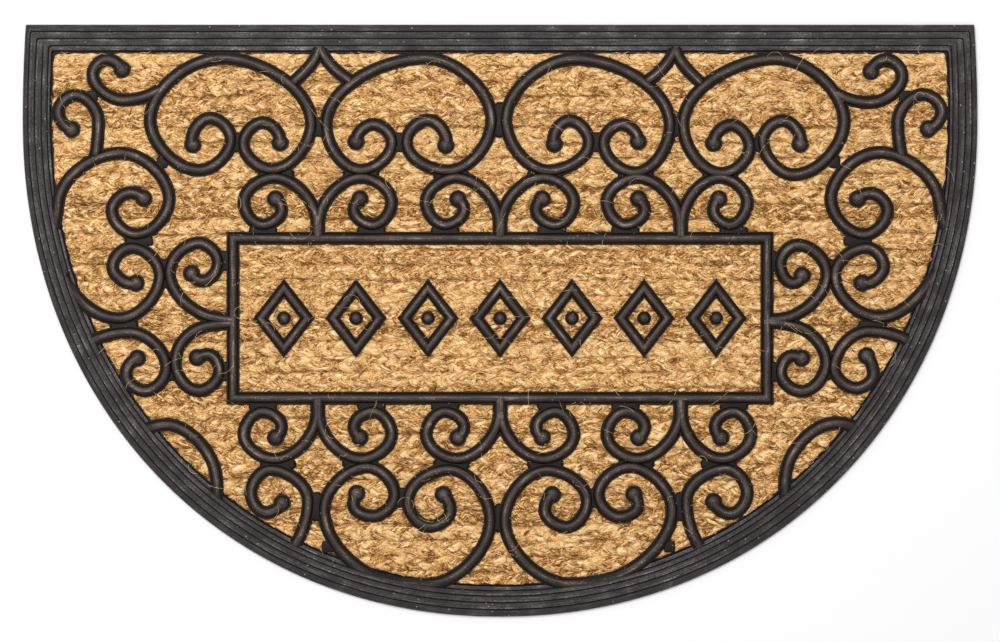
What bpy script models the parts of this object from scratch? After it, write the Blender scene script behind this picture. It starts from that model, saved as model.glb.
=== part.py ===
"""Half-round coir doormat: braided coir in a moulded rubber tray, under rubber scrollwork.

The origin lies on the floor under the middle of the mat. +X runs along the straight edge,
+Y points at the straight edge and +Z is up. Sizes and tables are in millimetres, as on a
mould drawing, and MM turns them to Blender's metres where a mesh is made.
"""

import math

import bmesh
import bpy
from mathutils import Vector
from mathutils.geometry import delaunay_2d_cdt

MM = 0.001

# Overall plan
WIDTH = 750.0
DEPTH = 465.0
STRAIGHT_EDGE = 745.2  # length of the straight edge; the sides draw in a little towards it
WIDEST_DROP = 74.8  # from the straight edge down to the widest line
CURVE_POWER = 2.085  # of the superellipse below the widest line; 2 would be an ellipse
UPPER_STEPS = 4  # facets of one side above the widest line
LOWER_STEPS = 38  # facets of one side from the widest line to the middle of the curved edge
TOP_Y = DEPTH / 2
WIDEST_Y = TOP_Y - WIDEST_DROP

# Border: its width, and the share of that width at which each tread starts
STRAIGHT_BORDER = 20.6
SIDE_BORDER = 21.5
FRONT_BORDER = 24.0
RIM_HEIGHT = 2.6
BACKING = 2.0  # thickness of the rubber under the coir
LIP_TOP = 8.0
TREADS = (
    # share on the straight edge, share on the curve, height at its foot, height at its far side
    (0.26, 0.22, 4.2, 4.7),
    (0.53, 0.46, 5.6, 6.0),
    (0.68, 0.69, 6.7, 7.0),
    (0.82, 0.88, LIP_TOP, LIP_TOP),
)
OUTER_TREAD_RISE = 0.6

# Coir
GAP = 0.3  # between any two pieces
PLAITS = 35
COIR_CREST = 8.0
COIR_VALLEY = 6.4
FACETS_A_PLAIT = 4
CUT_MARGIN = 1.0  # by which the uncut field reaches past the tray's inside

# Rubber bars of the scrollwork
BAR_WIDTH = 10.0
BAR_FOOT = COIR_CREST + GAP
BAR_FLANGE = 9.6
BAR_CREST = 12.0
BALL_RADIUS = 7.0
BALL_SIDES = 8
CHORD_ERROR = 0.7  # how far a straight facet may stand off the curve of its bar
STRAIGHT_TURN = math.radians(5)  # a run that turns less than this is one straight facet
MERGE_DISTANCE = 0.01  # corners of the plan that are closer than this become one
INSIDE_FACETS = 1  # asks for the triangles that lie inside the facets

# Panel: the lines run along the middle of its bars
PANEL_HALF_WIDTH = 209.5
PANEL_HALF_HEIGHT = 62.7
PANEL_Y = 1.9
STEMS = (-143.0, 0.0, 141.8)

# Lozenges in the panel
LOZENGES = 7
LOZENGE_PITCH = 56.5
LOZENGE_HALF_WIDTH = 18.3
LOZENGE_HALF_HEIGHT = 23.6
LOZENGE_BAR = 9.0
STUD_RADIUS = 5.6
STUD_SIDES = 12

# Materials: linear red, green and blue, and roughness
BORDER_RUBBER = ((0.045, 0.041, 0.041), 0.75)
BAR_RUBBER = ((0.027, 0.025, 0.026), 0.6)
BRAIDED_COIR = ((0.53, 0.29, 0.11), 0.95)

EAST, NORTH, WEST, SOUTH = 0, 90, 180, 270
ROUND = None

# The bars of the two halves, which are mirror images to within a few millimetres. Each bar says
# which of its ends curl up in a ball. Each row is a point that the middle of the left-hand bar
# passes: the heading in which it passes it, in degrees, then x and y, then how far the same
# point of the right-hand bar stands from the mirror image along x and y. A free end whose
# heading is ROUND is reached along a round arc.
BARS = {
    "top_outer": ("both", (
        (ROUND, -241.0, 138.0, -5.5, 0.5), (EAST, -227.5, 159.0, -5.5, -2.0),
        (SOUTH, -211.0, 142.5, -5.0, -1.0), (WEST, -236.0, 118.0, -5.5, -3.5),
        (NORTH, -274.5, 157.5, -4.5, -1.0), (EAST, -218.0, 206.0, -1.5, -0.5),
        (SOUTH, -148.0, 154.5, -4.5, -1.0), (WEST, -179.0, 118.5, -5.0, -3.0),
        (NORTH, -201.5, 139.0, -5.5, -2.5), (EAST, -186.0, 155.5, -5.0, -2.0),
        (ROUND, -172.5, 139.5, -5.0, -0.5),
    )),
    "top_inner": ("both", (
        (ROUND, -113.0, 140.5, -4.5, 0.0), (EAST, -99.5, 154.0, -4.0, 0.0),
        (SOUTH, -84.5, 140.0, -3.5, -0.5), (WEST, -109.0, 118.0, -3.5, -2.0),
        (NORTH, -136.5, 153.0, -3.0, 0.0), (EAST, -58.5, 206.0, 0.5, -0.5),
        (SOUTH, -6.5, 157.0, -2.0, 0.0), (WEST, -41.0, 117.5, -2.5, 0.0),
        (NORTH, -73.5, 140.0, -3.5, 0.0), (EAST, -56.5, 157.5, -2.0, -0.5),
        (ROUND, -42.5, 137.5, 0.0, 1.0),
    )),
    "corner_upper": ("start", (
        (ROUND, -296.5, 197.0, -5.5, -1.5), (WEST, -308.5, 205.0, -5.5, 0.0),
        (SOUTH, -319.5, 193.0, -4.0, -1.0), (EAST, -295.0, 173.0, -5.0, -2.0),
        (ROUND, -270.0, 179.5, -5.0, -2.0),
    )),
    "corner_lower": ("start", (
        (ROUND, -336.0, 150.0, 0.0, 0.5), (NORTH, -346.5, 164.0, 0.0, 0.0),
        (EAST, -333.0, 177.0, -1.0, 0.5), (SOUTH, -315.0, 156.0, -3.0, 0.0),
        (ROUND, -317.5, 129.0, -2.5, 0.0),
    )),
    "side_upper": ("start", (
        (ROUND, -279.5, 96.0, 1.0, -0.5), (WEST, -290.0, 100.5, 0.5, -0.5),
        (SOUTH, -304.5, 86.5, -0.5, 0.0), (EAST, -285.5, 67.5, 0.0, 0.0),
        (NORTH, -259.5, 95.5, 0.0, 0.0), (WEST, -297.5, 131.5, 0.0, 0.5),
        (262, -346.3, 94.0, -1.8, 0.0), (SOUTH, -350.0, 72.0, -1.0, 0.0),
    )),
    "side_middle_outer": ("start", (
        (ROUND, -285.5, 29.5, -1.5, 0.0), (NORTH, -304.0, 42.5, -3.0, 0.0),
        (EAST, -289.0, 57.5, -1.5, 0.0), (SOUTH, -266.5, 35.5, -4.0, 0.0),
        (WEST, -299.0, 1.5, -1.5, 1.0), (130, -334.0, 21.0, -3.0, 1.5),
        (ROUND, -346.0, 38.0, -3.0, 0.0),
    )),
    "side_middle_inner": ("start", (
        (ROUND, -242.0, 37.0, -5.0, -1.5), (EAST, -233.5, 31.0, -3.5, -1.5),
        (NORTH, -221.0, 45.5, -1.5, -1.0), (WEST, -236.0, 61.0, -2.5, -1.5),
        (SOUTH, -259.5, 38.0, -3.0, -1.0), (340, -230.5, 4.0, -2.5, -1.0),
        (352, -209.5, 0.6, -2.5, -0.6),
    )),
    "side_lower_outer": ("start", (
        (ROUND, -284.5, -29.5, 3.0, 2.0), (SOUTH, -293.5, -42.0, -0.5, 0.0),
        (EAST, -278.5, -55.0, 1.0, 2.0), (NORTH, -261.5, -37.0, 0.5, 0.0),
        (WEST, -290.5, -9.0, -2.0, 1.0), (207, -318.0, -15.0, 1.0, 0.0),
        (ROUND, -336.0, -26.0, 1.0, 0.0),
    )),
    "side_lower_inner": ("start", (
        (ROUND, -237.5, -29.0, -1.0, -0.5), (EAST, -229.0, -26.5, 0.0, -1.0),
        (SOUTH, -220.0, -39.5, 0.0, -1.0), (WEST, -236.5, -55.0, 0.0, -0.5),
        (NORTH, -255.0, -33.0, 1.0, 0.0), (30, -240.0, -8.0, 0.0, 0.0),
        (5, -209.5, -2.0, 0.0, 1.0),
    )),
    "front_outer": ("start", (
        (ROUND, -171.0, -143.0, -3.5, 1.0), (WEST, -183.5, -150.5, -3.0, -1.0),
        (NORTH, -195.5, -135.0, -1.5, 0.0), (EAST, -180.0, -116.7, -3.0, 0.7),
        (SOUTH, -150.3, -141.5, -4.3, 0.0), (242, -158.5, -172.0, -5.0, 0.0),
        (ROUND, -170.0, -190.0, -4.5, 0.0),
    )),
    "front_inner": ("both", (
        (ROUND, -112.5, -135.5, -7.5, -0.5), (SOUTH, -115.0, -144.0, -7.0, -1.0),
        (EAST, -100.0, -153.5, -6.0, -0.5), (NORTH, -82.5, -136.5, -5.5, 0.0),
        (WEST, -104.5, -114.7, -3.0, 0.2), (SOUTH, -138.2, -148.5, -3.2, 0.0),
        (337, -97.0, -201.5, -4.0, 1.5), (EAST, -58.0, -207.0, -3.0, 0.5),
        (NORTH, -7.5, -156.0, -4.0, 0.0), (WEST, -40.5, -116.5, -3.0, -0.5),
        (SOUTH, -72.5, -141.5, -4.0, 0.0), (EAST, -55.0, -161.5, -3.0, -0.5),
        (NORTH, -39.0, -148.5, -4.0, 0.0), (ROUND, -44.5, -136.5, -3.5, 0.0),
    )),
    "tie_outer": ("none", (
        (258, -141.8, 214.0, -4.6, 0.0), (222, -160.5, 188.5, -5.0, 0.0),
    )),
    "tie_inner": ("none", (
        (290, -141.2, 214.0, -3.4, 0.0), (328, -119.0, 189.0, -2.0, 0.0),
    )),
}

# The arc that springs from the lip at both ends, apart from the other bars, and how far the
# right-hand arc stands from its mirror image
ARC_SHIFT = (1.3, 1.2)
LEFT_ARC = (
    (20, -286.0, -88.0), (EAST, -262.0, -81.5), (300, -228.0, -106.0),
    (268, -222.0, -134.0), (262, -225.0, -152.0),
)

# The small scroll beside a stem. x counts from the stem and y from the panel's middle line.
# Two of the scrolls beside the right-hand stem are narrower than the others.
STEM_SCROLL = (
    (ROUND, -33.1, 93.6), (SOUTH, -28.3, 85.0), (WEST, -43.2, 73.0), (NORTH, -58.0, 91.0),
    (EAST, -34.3, 110.6), (SOUTH, -0.8, 75.0), (SOUTH, -0.8, PANEL_HALF_HEIGHT),
)

NARROW_SCROLLS = {
    # stem, side, above or below the panel: share of the width
    (2, 1, 1): 0.9,
    (2, 1, -1): 0.95,
}

# Webs fill the corners where two bars touch: half the length along x, half the length along y
ACROSS = (11.5, 4.0)
WIDE = (14.5, 4.0)
TALL = (4.0, 14.5)
UPRIGHT = (4.0, 11.5)
SHORT_UPRIGHT = (4.0, 8.0)
SQUARE = (4.6, 4.6)

# The webs of the left half, and how far those of the right half stand from a mirror image
WEB_SHIFT = (-2.5, 0.0)
LEFT_WEBS = (
    # x, y, web
    (-206.5, 140.0, SHORT_UPRIGHT), (-142.0, 152.0, SHORT_UPRIGHT), (-135.5, -177.5, SQUARE),
    (-79.0, 140.0, SHORT_UPRIGHT), (-175.5, 114.5, WIDE), (-109.0, 114.5, WIDE),
    (-38.0, 114.0, WIDE), (-283.0, 62.5, ACROSS), (-263.0, 37.0, UPRIGHT),
    (-295.0, -4.0, ACROSS), (-258.5, -36.0, UPRIGHT), (-265.0, 124.0, SQUARE),
    (-320.0, 176.0, SQUARE), (-186.0, 70.0, ACROSS), (-101.0, 70.0, ACROSS),
    (-43.0, 70.0, ACROSS), (-186.0, -66.5, ACROSS), (-101.0, -66.5, ACROSS),
    (-43.0, -66.5, ACROSS), (-174.0, -112.5, WIDE), (-109.5, -112.0, WIDE),
    (-38.0, -112.5, WIDE), (-144.0, -146.0, UPRIGHT), (-77.5, -139.0, SHORT_UPRIGHT),
    (-216.0, 47.0, SHORT_UPRIGHT), (-216.0, -40.0, SHORT_UPRIGHT),
)
MIDDLE_WEBS = ((0.0, 157.5, TALL), (0.0, -155.0, UPRIGHT))


def clear_scene():
    """Empties the scene that the script starts in."""
    for obj in list(bpy.data.objects):
        bpy.data.objects.remove(obj)


def make_material(name, colour, roughness):
    """A Principled material; colour is linear red, green, blue."""
    material = bpy.data.materials.new(name)
    material.use_nodes = True
    shader = material.node_tree.nodes["Principled BSDF"]
    shader.inputs["Base Color"].default_value = (*colour, 1.0)
    shader.inputs["Roughness"].default_value = roughness
    shader.inputs["Metallic"].default_value = 0.0
    return material


def add_object(name, bm, material):
    """Makes an object of a bmesh in millimetres, with its faces turned outwards."""
    bmesh.ops.recalc_face_normals(bm, faces=bm.faces)
    bmesh.ops.scale(bm, vec=(MM, MM, MM), verts=bm.verts)
    mesh = bpy.data.meshes.new(name)
    bm.to_mesh(mesh)
    bm.free()
    mesh.materials.append(material)
    obj = bpy.data.objects.new(name, mesh)
    bpy.context.scene.collection.objects.link(obj)
    return obj


def half_width_above(y):
    """Half the mat's width between the widest line and the straight edge."""
    drawn_in = (WIDTH - STRAIGHT_EDGE) / 2
    return WIDTH / 2 - drawn_in * ((y - WIDEST_Y) / WIDEST_DROP) ** 2


def curve_point(angle):
    """A point of the curved edge, right of the middle, and its outward normal.

    The angle is 0 at the widest line and 90 degrees at the middle of the curved edge.
    """
    across, down = WIDTH / 2, DEPTH - WIDEST_DROP
    x = across * math.cos(angle) ** (2 / CURVE_POWER)
    drop = down * max(math.sin(angle), 0.0) ** (2 / CURVE_POWER)
    power = CURVE_POWER - 1
    normal = Vector(((x / across) ** power / across, -((drop / down) ** power) / down))
    return Vector((x, WIDEST_Y - drop)), normal.normalized()


def ring(straight_share, curve_share, gap=0.0):
    """The closed loop that lies these shares of the border's width inside the outline.

    It starts at the right end of the straight edge and runs round the curve to the left
    end. A gap moves the whole loop further in.
    """
    top = TOP_Y - straight_share * STRAIGHT_BORDER - gap
    right = []
    for step in range(UPPER_STEPS):
        y = top + (WIDEST_Y - top) * step / UPPER_STEPS
        right.append(Vector((half_width_above(y) - curve_share * SIDE_BORDER - gap, y)))
    for step in range(LOWER_STEPS):
        angle = math.pi / 2 * step / LOWER_STEPS
        point, normal = curve_point(angle)
        width = SIDE_BORDER + (FRONT_BORDER - SIDE_BORDER) * math.sin(angle)
        right.append(point - normal * (curve_share * width + gap))
    front = Vector((0.0, TOP_Y - DEPTH + curve_share * FRONT_BORDER + gap))
    left = [Vector((-point.x, point.y)) for point in reversed(right)]
    return right + [front] + left


# The bars run over the lip as far as the foot of its outer side.
LIP_LOOP = ring(*TREADS[-1][:2], GAP)


def loft(rings):
    """A closed body through loops of equal length, each a list of points with its height."""
    bm = bmesh.new()
    loops = [[bm.verts.new((p.x, p.y, height)) for p in points] for points, height in rings]
    for lower, upper in zip(loops, loops[1:]):
        for index in range(len(lower)):
            after = (index + 1) % len(lower)
            bm.faces.new((lower[index], lower[after], upper[after], upper[index]))
    bm.faces.new(loops[0])
    bm.faces.new(loops[-1])
    return bm


def make_tray(rubber):
    """The backing and the border, whose treads step up to the lip beside the coir."""
    edge = ring(0.0, 0.0)
    rings = [(edge, 0.0), (edge, RIM_HEIGHT)]
    height = RIM_HEIGHT + OUTER_TREAD_RISE
    for straight_share, curve_share, foot, far_side in TREADS:
        line = ring(straight_share, curve_share)
        rings += [(line, height), (line, foot)]
        height = far_side
    wall = ring(1.0, 1.0)
    rings += [(wall, height), (wall, BACKING)]
    return add_object("rubber_tray", loft(rings), rubber)


def plait_section(bottom, top):
    """The coir's section across its plaits, as y and height: a low round crest a plait."""
    pitch = (top - bottom) / PLAITS
    points = [(bottom, BACKING + GAP), (top, BACKING + GAP)]
    for step in range(PLAITS * FACETS_A_PLAIT, -1, -1):
        turn = math.pi * step / FACETS_A_PLAIT
        height = COIR_VALLEY + (COIR_CREST - COIR_VALLEY) * abs(math.sin(turn))
        points.append((bottom + pitch * step / FACETS_A_PLAIT, height))
    return points


def make_coir(coir):
    """The field of plaits: their section drawn out sideways, then cut to the tray's inside."""
    inside = ring(1.0, 1.0, GAP)
    bottom = min(p.y for p in inside) - CUT_MARGIN
    top = max(p.y for p in inside) + CUT_MARGIN
    bm = bmesh.new()
    section = plait_section(bottom, top)
    face = bm.faces.new([bm.verts.new((-WIDTH / 2, y, height)) for y, height in section])
    drawn = bmesh.ops.extrude_face_region(bm, geom=[face])["geom"]
    moved = [item for item in drawn if isinstance(item, bmesh.types.BMVert)]
    bmesh.ops.translate(bm, vec=(WIDTH, 0.0, 0.0), verts=moved)
    field = add_object("coir_field", bm, coir)

    cutter = add_object("coir_cutter", loft([(inside, 0.0), (inside, 2 * COIR_CREST)]), coir)
    cutter.hide_render = True
    cutter.display_type = "WIRE"
    cut = field.modifiers.new("cut to the tray", "BOOLEAN")
    cut.operation = "INTERSECT"
    cut.object = cutter
    return field


def way_of(rows, index, neighbour):
    """The direction of a bar at one of its rows, given the index of the row next to it."""
    heading, x, y = rows[index]
    if heading is ROUND:
        known, other_x, other_y = rows[neighbour]
        backwards = index > neighbour
        run = Vector((x - other_x, y - other_y)) if backwards else Vector((other_x - x, other_y - y))
        heading = 2 * math.degrees(math.atan2(run.y, run.x)) - known
    return Vector((math.cos(math.radians(heading)), math.sin(math.radians(heading))))


def bezier_run(p0, d0, p3, d3):
    """Points along the smooth curve between two places of a bar, without the last one."""
    turn = d0.angle(d3)
    chord = (p3 - p0).length
    reach0 = reach3 = chord / 3
    steps = 1
    if turn > STRAIGHT_TURN:
        radius = chord / (2 * math.sin(turn / 2))
        steps = math.ceil(turn * math.sqrt(radius / (8 * CHORD_ERROR)))
        # Where the two tangents meet, the handles are those of an elliptical arc.
        across = d0.x * d3.y - d0.y * d3.x
        to_corner = p3 - p0
        along0 = (to_corner.x * d3.y - to_corner.y * d3.x) / across
        along3 = (to_corner.x * d0.y - to_corner.y * d0.x) / -across
        share = 4 / 3 * math.tan(turn / 4) / math.tan(turn / 2)
        if along0 > 0 and along3 < 0:
            reach0, reach3 = share * along0, share * -along3
    p1, p2 = p0 + d0 * reach0, p3 - d3 * reach3
    points = []
    for step in range(steps):
        t = step / steps
        s = 1 - t
        points.append(s**3 * p0 + 3 * s * s * t * p1 + 3 * s * t * t * p2 + t**3 * p3)
    return points


def centre_line(rows):
    """The points along the middle of a bar."""
    places = [Vector((x, y)) for _, x, y in rows]
    points = []
    for index in range(len(rows) - 1):
        start_way = way_of(rows, index, index + 1)
        end_way = way_of(rows, index + 1, index)
        points += bezier_run(places[index], start_way, places[index + 1], end_way)
    return points + [places[-1]]


def round_loop(centre, radius, sides):
    """The corners of a regular polygon."""
    turns = [2 * math.pi * (step + 0.5) / sides for step in range(sides)]
    return [centre + radius * Vector((math.cos(turn), math.sin(turn))) for turn in turns]


def anticlockwise(corners):
    """The corners of a flat shape, in the order that runs anticlockwise."""
    turns = zip(corners, corners[1:] + corners[:1])
    area = sum(here.x * there.y - there.x * here.y for here, there in turns)
    return corners if area > 0 else corners[::-1]


class Openwork:
    """Bars and discs drawn on the plan, which become one solid with a ridge along each bar."""

    def __init__(self):
        self.facets = []
        self.ridges = []
        self.peaks = []

    def add_facet(self, corners):
        """Adds one convex facet of the plan."""
        self.facets.append(anticlockwise(corners))

    def add_bar(self, points, width, closed=False):
        """Adds a bar along its middle points, mitred at each of them."""
        count = len(points)
        sides = []
        for index, point in enumerate(points):
            before = points[index - 1] if closed or index else point
            after = points[(index + 1) % count] if closed or index < count - 1 else point
            ways = [way.normalized() for way in (point - before, after - point) if way.length]
            mean = sum(ways, Vector((0.0, 0.0))).normalized()
            reach = width / 2 / mean.dot(ways[0])
            across = Vector((-mean.y, mean.x)) * reach
            sides.append((point - across, point, point + across))
        for index in range(count if closed else count - 1):
            here, there = sides[index], sides[(index + 1) % count]
            self.add_facet([here[0], there[0], there[1], here[1]])
            self.add_facet([here[1], there[1], there[2], here[2]])
            self.ridges.append((here[1], there[1], width / 2))

    def add_web(self, centre, reach):
        """Adds a flat patch, as long and as high as twice its reach, between two bars."""
        corners = ((-1, -1), (1, -1), (1, 1), (-1, 1))
        self.add_facet([centre + Vector((x * reach[0], y * reach[1])) for x, y in corners])

    def add_ball(self, centre, radius, sides):
        """Adds a round end or stud, with its peak in the middle."""
        rim = round_loop(centre, radius, sides)
        for here, there in zip(rim, rim[1:] + rim[:1]):
            self.add_facet([centre, here, there])
        self.peaks.append((centre, radius))

    def height(self, place):
        """The height of the top surface over a place of the plan."""
        share = 0.0
        for start, end, reach in self.ridges:
            along = end - start
            part = min(1.0, max(0.0, (place - start).dot(along) / along.length_squared))
            share = max(share, 1 - (place - start - part * along).length / reach)
        for centre, radius in self.peaks:
            share = max(share, 1 - (place - centre).length / radius)
        return BAR_FLANGE + (BAR_CREST - BAR_FLANGE) * share

    def make(self, name, material, trim=None):
        """Joins the facets, trims them to a loop, and gives them their thickness."""
        facets = self.facets + ([anticlockwise(trim)] if trim else [])
        points, faces = [], []
        for corners in facets:
            faces.append(list(range(len(points), len(points) + len(corners))))
            points += corners
        places, _, cells, _, _, owners = delaunay_2d_cdt(
            points, [], faces, INSIDE_FACETS, MERGE_DISTANCE
        )
        drawn = len(self.facets)
        bm = bmesh.new()
        corners = [bm.verts.new((place.x, place.y, BAR_FOOT)) for place in places]
        for cell, owner in zip(cells, owners):
            inside_trim = trim is None or drawn in owner
            if inside_trim and any(index < drawn for index in owner):
                bm.faces.new([corners[index] for index in cell])
        bmesh.ops.delete(bm, geom=[v for v in bm.verts if not v.link_faces], context="VERTS")
        raised = bmesh.ops.extrude_face_region(bm, geom=bm.faces[:])["geom"]
        for item in raised:
            if isinstance(item, bmesh.types.BMVert):
                item.co.z = self.height(item.co.xy)
        return add_object(name, bm, material)


def halves(rows):
    """The rows of a left-hand bar, and those of the bar that mirrors it on the right."""
    left = [(heading, x, y) for heading, x, y, _, _ in rows]
    right = [
        (ROUND if heading is ROUND else (180 - heading) % 360, across - x, y + up)
        for heading, x, y, across, up in rows
    ]
    return left, right


def both_sides(points, shift):
    """Places of the left half, and their mirror images on the right, moved by the shift."""
    return points, [Vector((shift[0] - point.x, shift[1] + point.y)) for point in points]


def stem_scroll_lines():
    """The middle lines of the small scrolls: two beside each stem, above and below."""
    shape = centre_line(STEM_SCROLL)
    lines = []
    for number, stem in enumerate(STEMS):
        for side in (1, -1):
            for way in (1, -1):
                # The scroll is drawn on the left of its stem, so side 1 leaves it there.
                reach = side * NARROW_SCROLLS.get((number, -side, way), 1.0)
                lines.append([
                    Vector((stem + reach * point.x, PANEL_Y + way * point.y)) for point in shape
                ])
    return lines


def make_scrollwork(rubber):
    """All the joined bars: scrolls, stems, ties and the panel's frame."""
    work = Openwork()
    for ends, rows in BARS.values():
        for line in map(centre_line, halves(rows)):
            work.add_bar(line, BAR_WIDTH)
            balls = {"none": [], "start": line[:1], "both": [line[0], line[-1]]}[ends]
            for ball in balls:
                work.add_ball(ball, BALL_RADIUS, BALL_SIDES)
    for line in stem_scroll_lines():
        work.add_bar(line, BAR_WIDTH)
        work.add_ball(line[0], BALL_RADIUS, BALL_SIDES)
    frame = [
        Vector((side * PANEL_HALF_WIDTH, PANEL_Y + way * PANEL_HALF_HEIGHT))
        for side, way in ((-1, -1), (1, -1), (1, 1), (-1, 1))
    ]
    work.add_bar(frame, BAR_WIDTH, closed=True)
    for x, y, web in LEFT_WEBS:
        for place in both_sides([Vector((x, y))], WEB_SHIFT):
            work.add_web(place[0], web)
    for x, y, web in MIDDLE_WEBS:
        work.add_web(Vector((x, y)), web)
    return work.make("scrollwork", rubber, LIP_LOOP)


def make_arcs(rubber):
    """The two arcs that stand on the lip by themselves."""
    for side, line in zip(("left", "right"), both_sides(centre_line(LEFT_ARC), ARC_SHIFT)):
        arc = Openwork()
        arc.add_bar(line, BAR_WIDTH)
        arc.make(f"arc_{side}", rubber, LIP_LOOP)


def make_lozenges(rubber):
    """The row of lozenges in the panel, each with a stud standing in its middle."""
    for index in range(LOZENGES):
        x = (index - (LOZENGES - 1) / 2) * LOZENGE_PITCH
        middle = Vector((x, PANEL_Y))
        tips = [
            middle + Vector((across * LOZENGE_HALF_WIDTH, up * LOZENGE_HALF_HEIGHT))
            for across, up in ((-1, 0), (0, -1), (1, 0), (0, 1))
        ]
        lozenge = Openwork()
        lozenge.add_bar(tips, LOZENGE_BAR, closed=True)
        lozenge.make(f"lozenge_{index + 1}", rubber)
        stud = Openwork()
        stud.add_ball(middle, STUD_RADIUS, STUD_SIDES)
        stud.make(f"lozenge_stud_{index + 1}", rubber)


def main():
    """Builds the mat."""
    clear_scene()
    rubber = make_material("black_moulded_rubber", *BORDER_RUBBER)
    bar_rubber = make_material("black_pressed_rubber_bars", *BAR_RUBBER)
    coir = make_material("braided_coir", *BRAIDED_COIR)
    make_tray(rubber)
    make_coir(coir)
    make_scrollwork(bar_rubber)
    make_arcs(bar_rubber)
    make_lozenges(bar_rubber)


main()
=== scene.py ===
"""The half-round coir doormat, dressed.

It lies on the floor with its middle over the origin, +X along the straight edge, +Y towards
the straight edge and +Z up. Plans, profiles and tables are in millimetres, as on a mould
drawing, and MM turns them to metres where a mesh is made.
"""

import logging
import math
import random
from collections.abc import Sequence
from dataclasses import dataclass, field
from enum import Enum
from itertools import product

import bmesh
import bpy
import numpy as np
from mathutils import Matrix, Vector
from mathutils.kdtree import KDTree

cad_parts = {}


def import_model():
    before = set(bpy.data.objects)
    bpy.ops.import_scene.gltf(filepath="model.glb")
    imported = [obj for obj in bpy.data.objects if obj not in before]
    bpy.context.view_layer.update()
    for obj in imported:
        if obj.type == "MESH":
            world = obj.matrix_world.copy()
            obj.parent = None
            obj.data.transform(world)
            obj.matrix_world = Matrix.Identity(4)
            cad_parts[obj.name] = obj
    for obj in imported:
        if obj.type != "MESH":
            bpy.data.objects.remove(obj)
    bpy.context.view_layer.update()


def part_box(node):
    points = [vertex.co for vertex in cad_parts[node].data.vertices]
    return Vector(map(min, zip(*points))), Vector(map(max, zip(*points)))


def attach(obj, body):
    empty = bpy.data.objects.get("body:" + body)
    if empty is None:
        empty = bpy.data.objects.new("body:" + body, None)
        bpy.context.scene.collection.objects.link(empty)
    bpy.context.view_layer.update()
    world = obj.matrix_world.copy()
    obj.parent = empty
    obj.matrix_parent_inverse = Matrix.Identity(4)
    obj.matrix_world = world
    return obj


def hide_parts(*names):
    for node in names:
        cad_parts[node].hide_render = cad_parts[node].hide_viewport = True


LOG = logging.getLogger("doormat")

MM = 0.001
BODY = "root"
SEED = 20
WELD = 1e-6  # metres; corners closer than this become one
TINY = 1e-6  # stands in for nothing where a power or a quotient needs more than that

EAST, NORTH, WEST, SOUTH = 0, 90, 180, 270
ROUND = None

Pair = tuple[float, float]
Triple = tuple[float, float, float]
# A point of a bar: the heading or ROUND, x and y, and in the table of bars also the right-hand
# bar's move along x and y
Passing = tuple[float | None, float, float]
BarRow = tuple[float | None, float, float, float, float]


class BallEnds(Enum):
    """Which ends of a bar curl up in a ball."""

    NONE = "none"
    START = "start"
    BOTH = "both"


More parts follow.
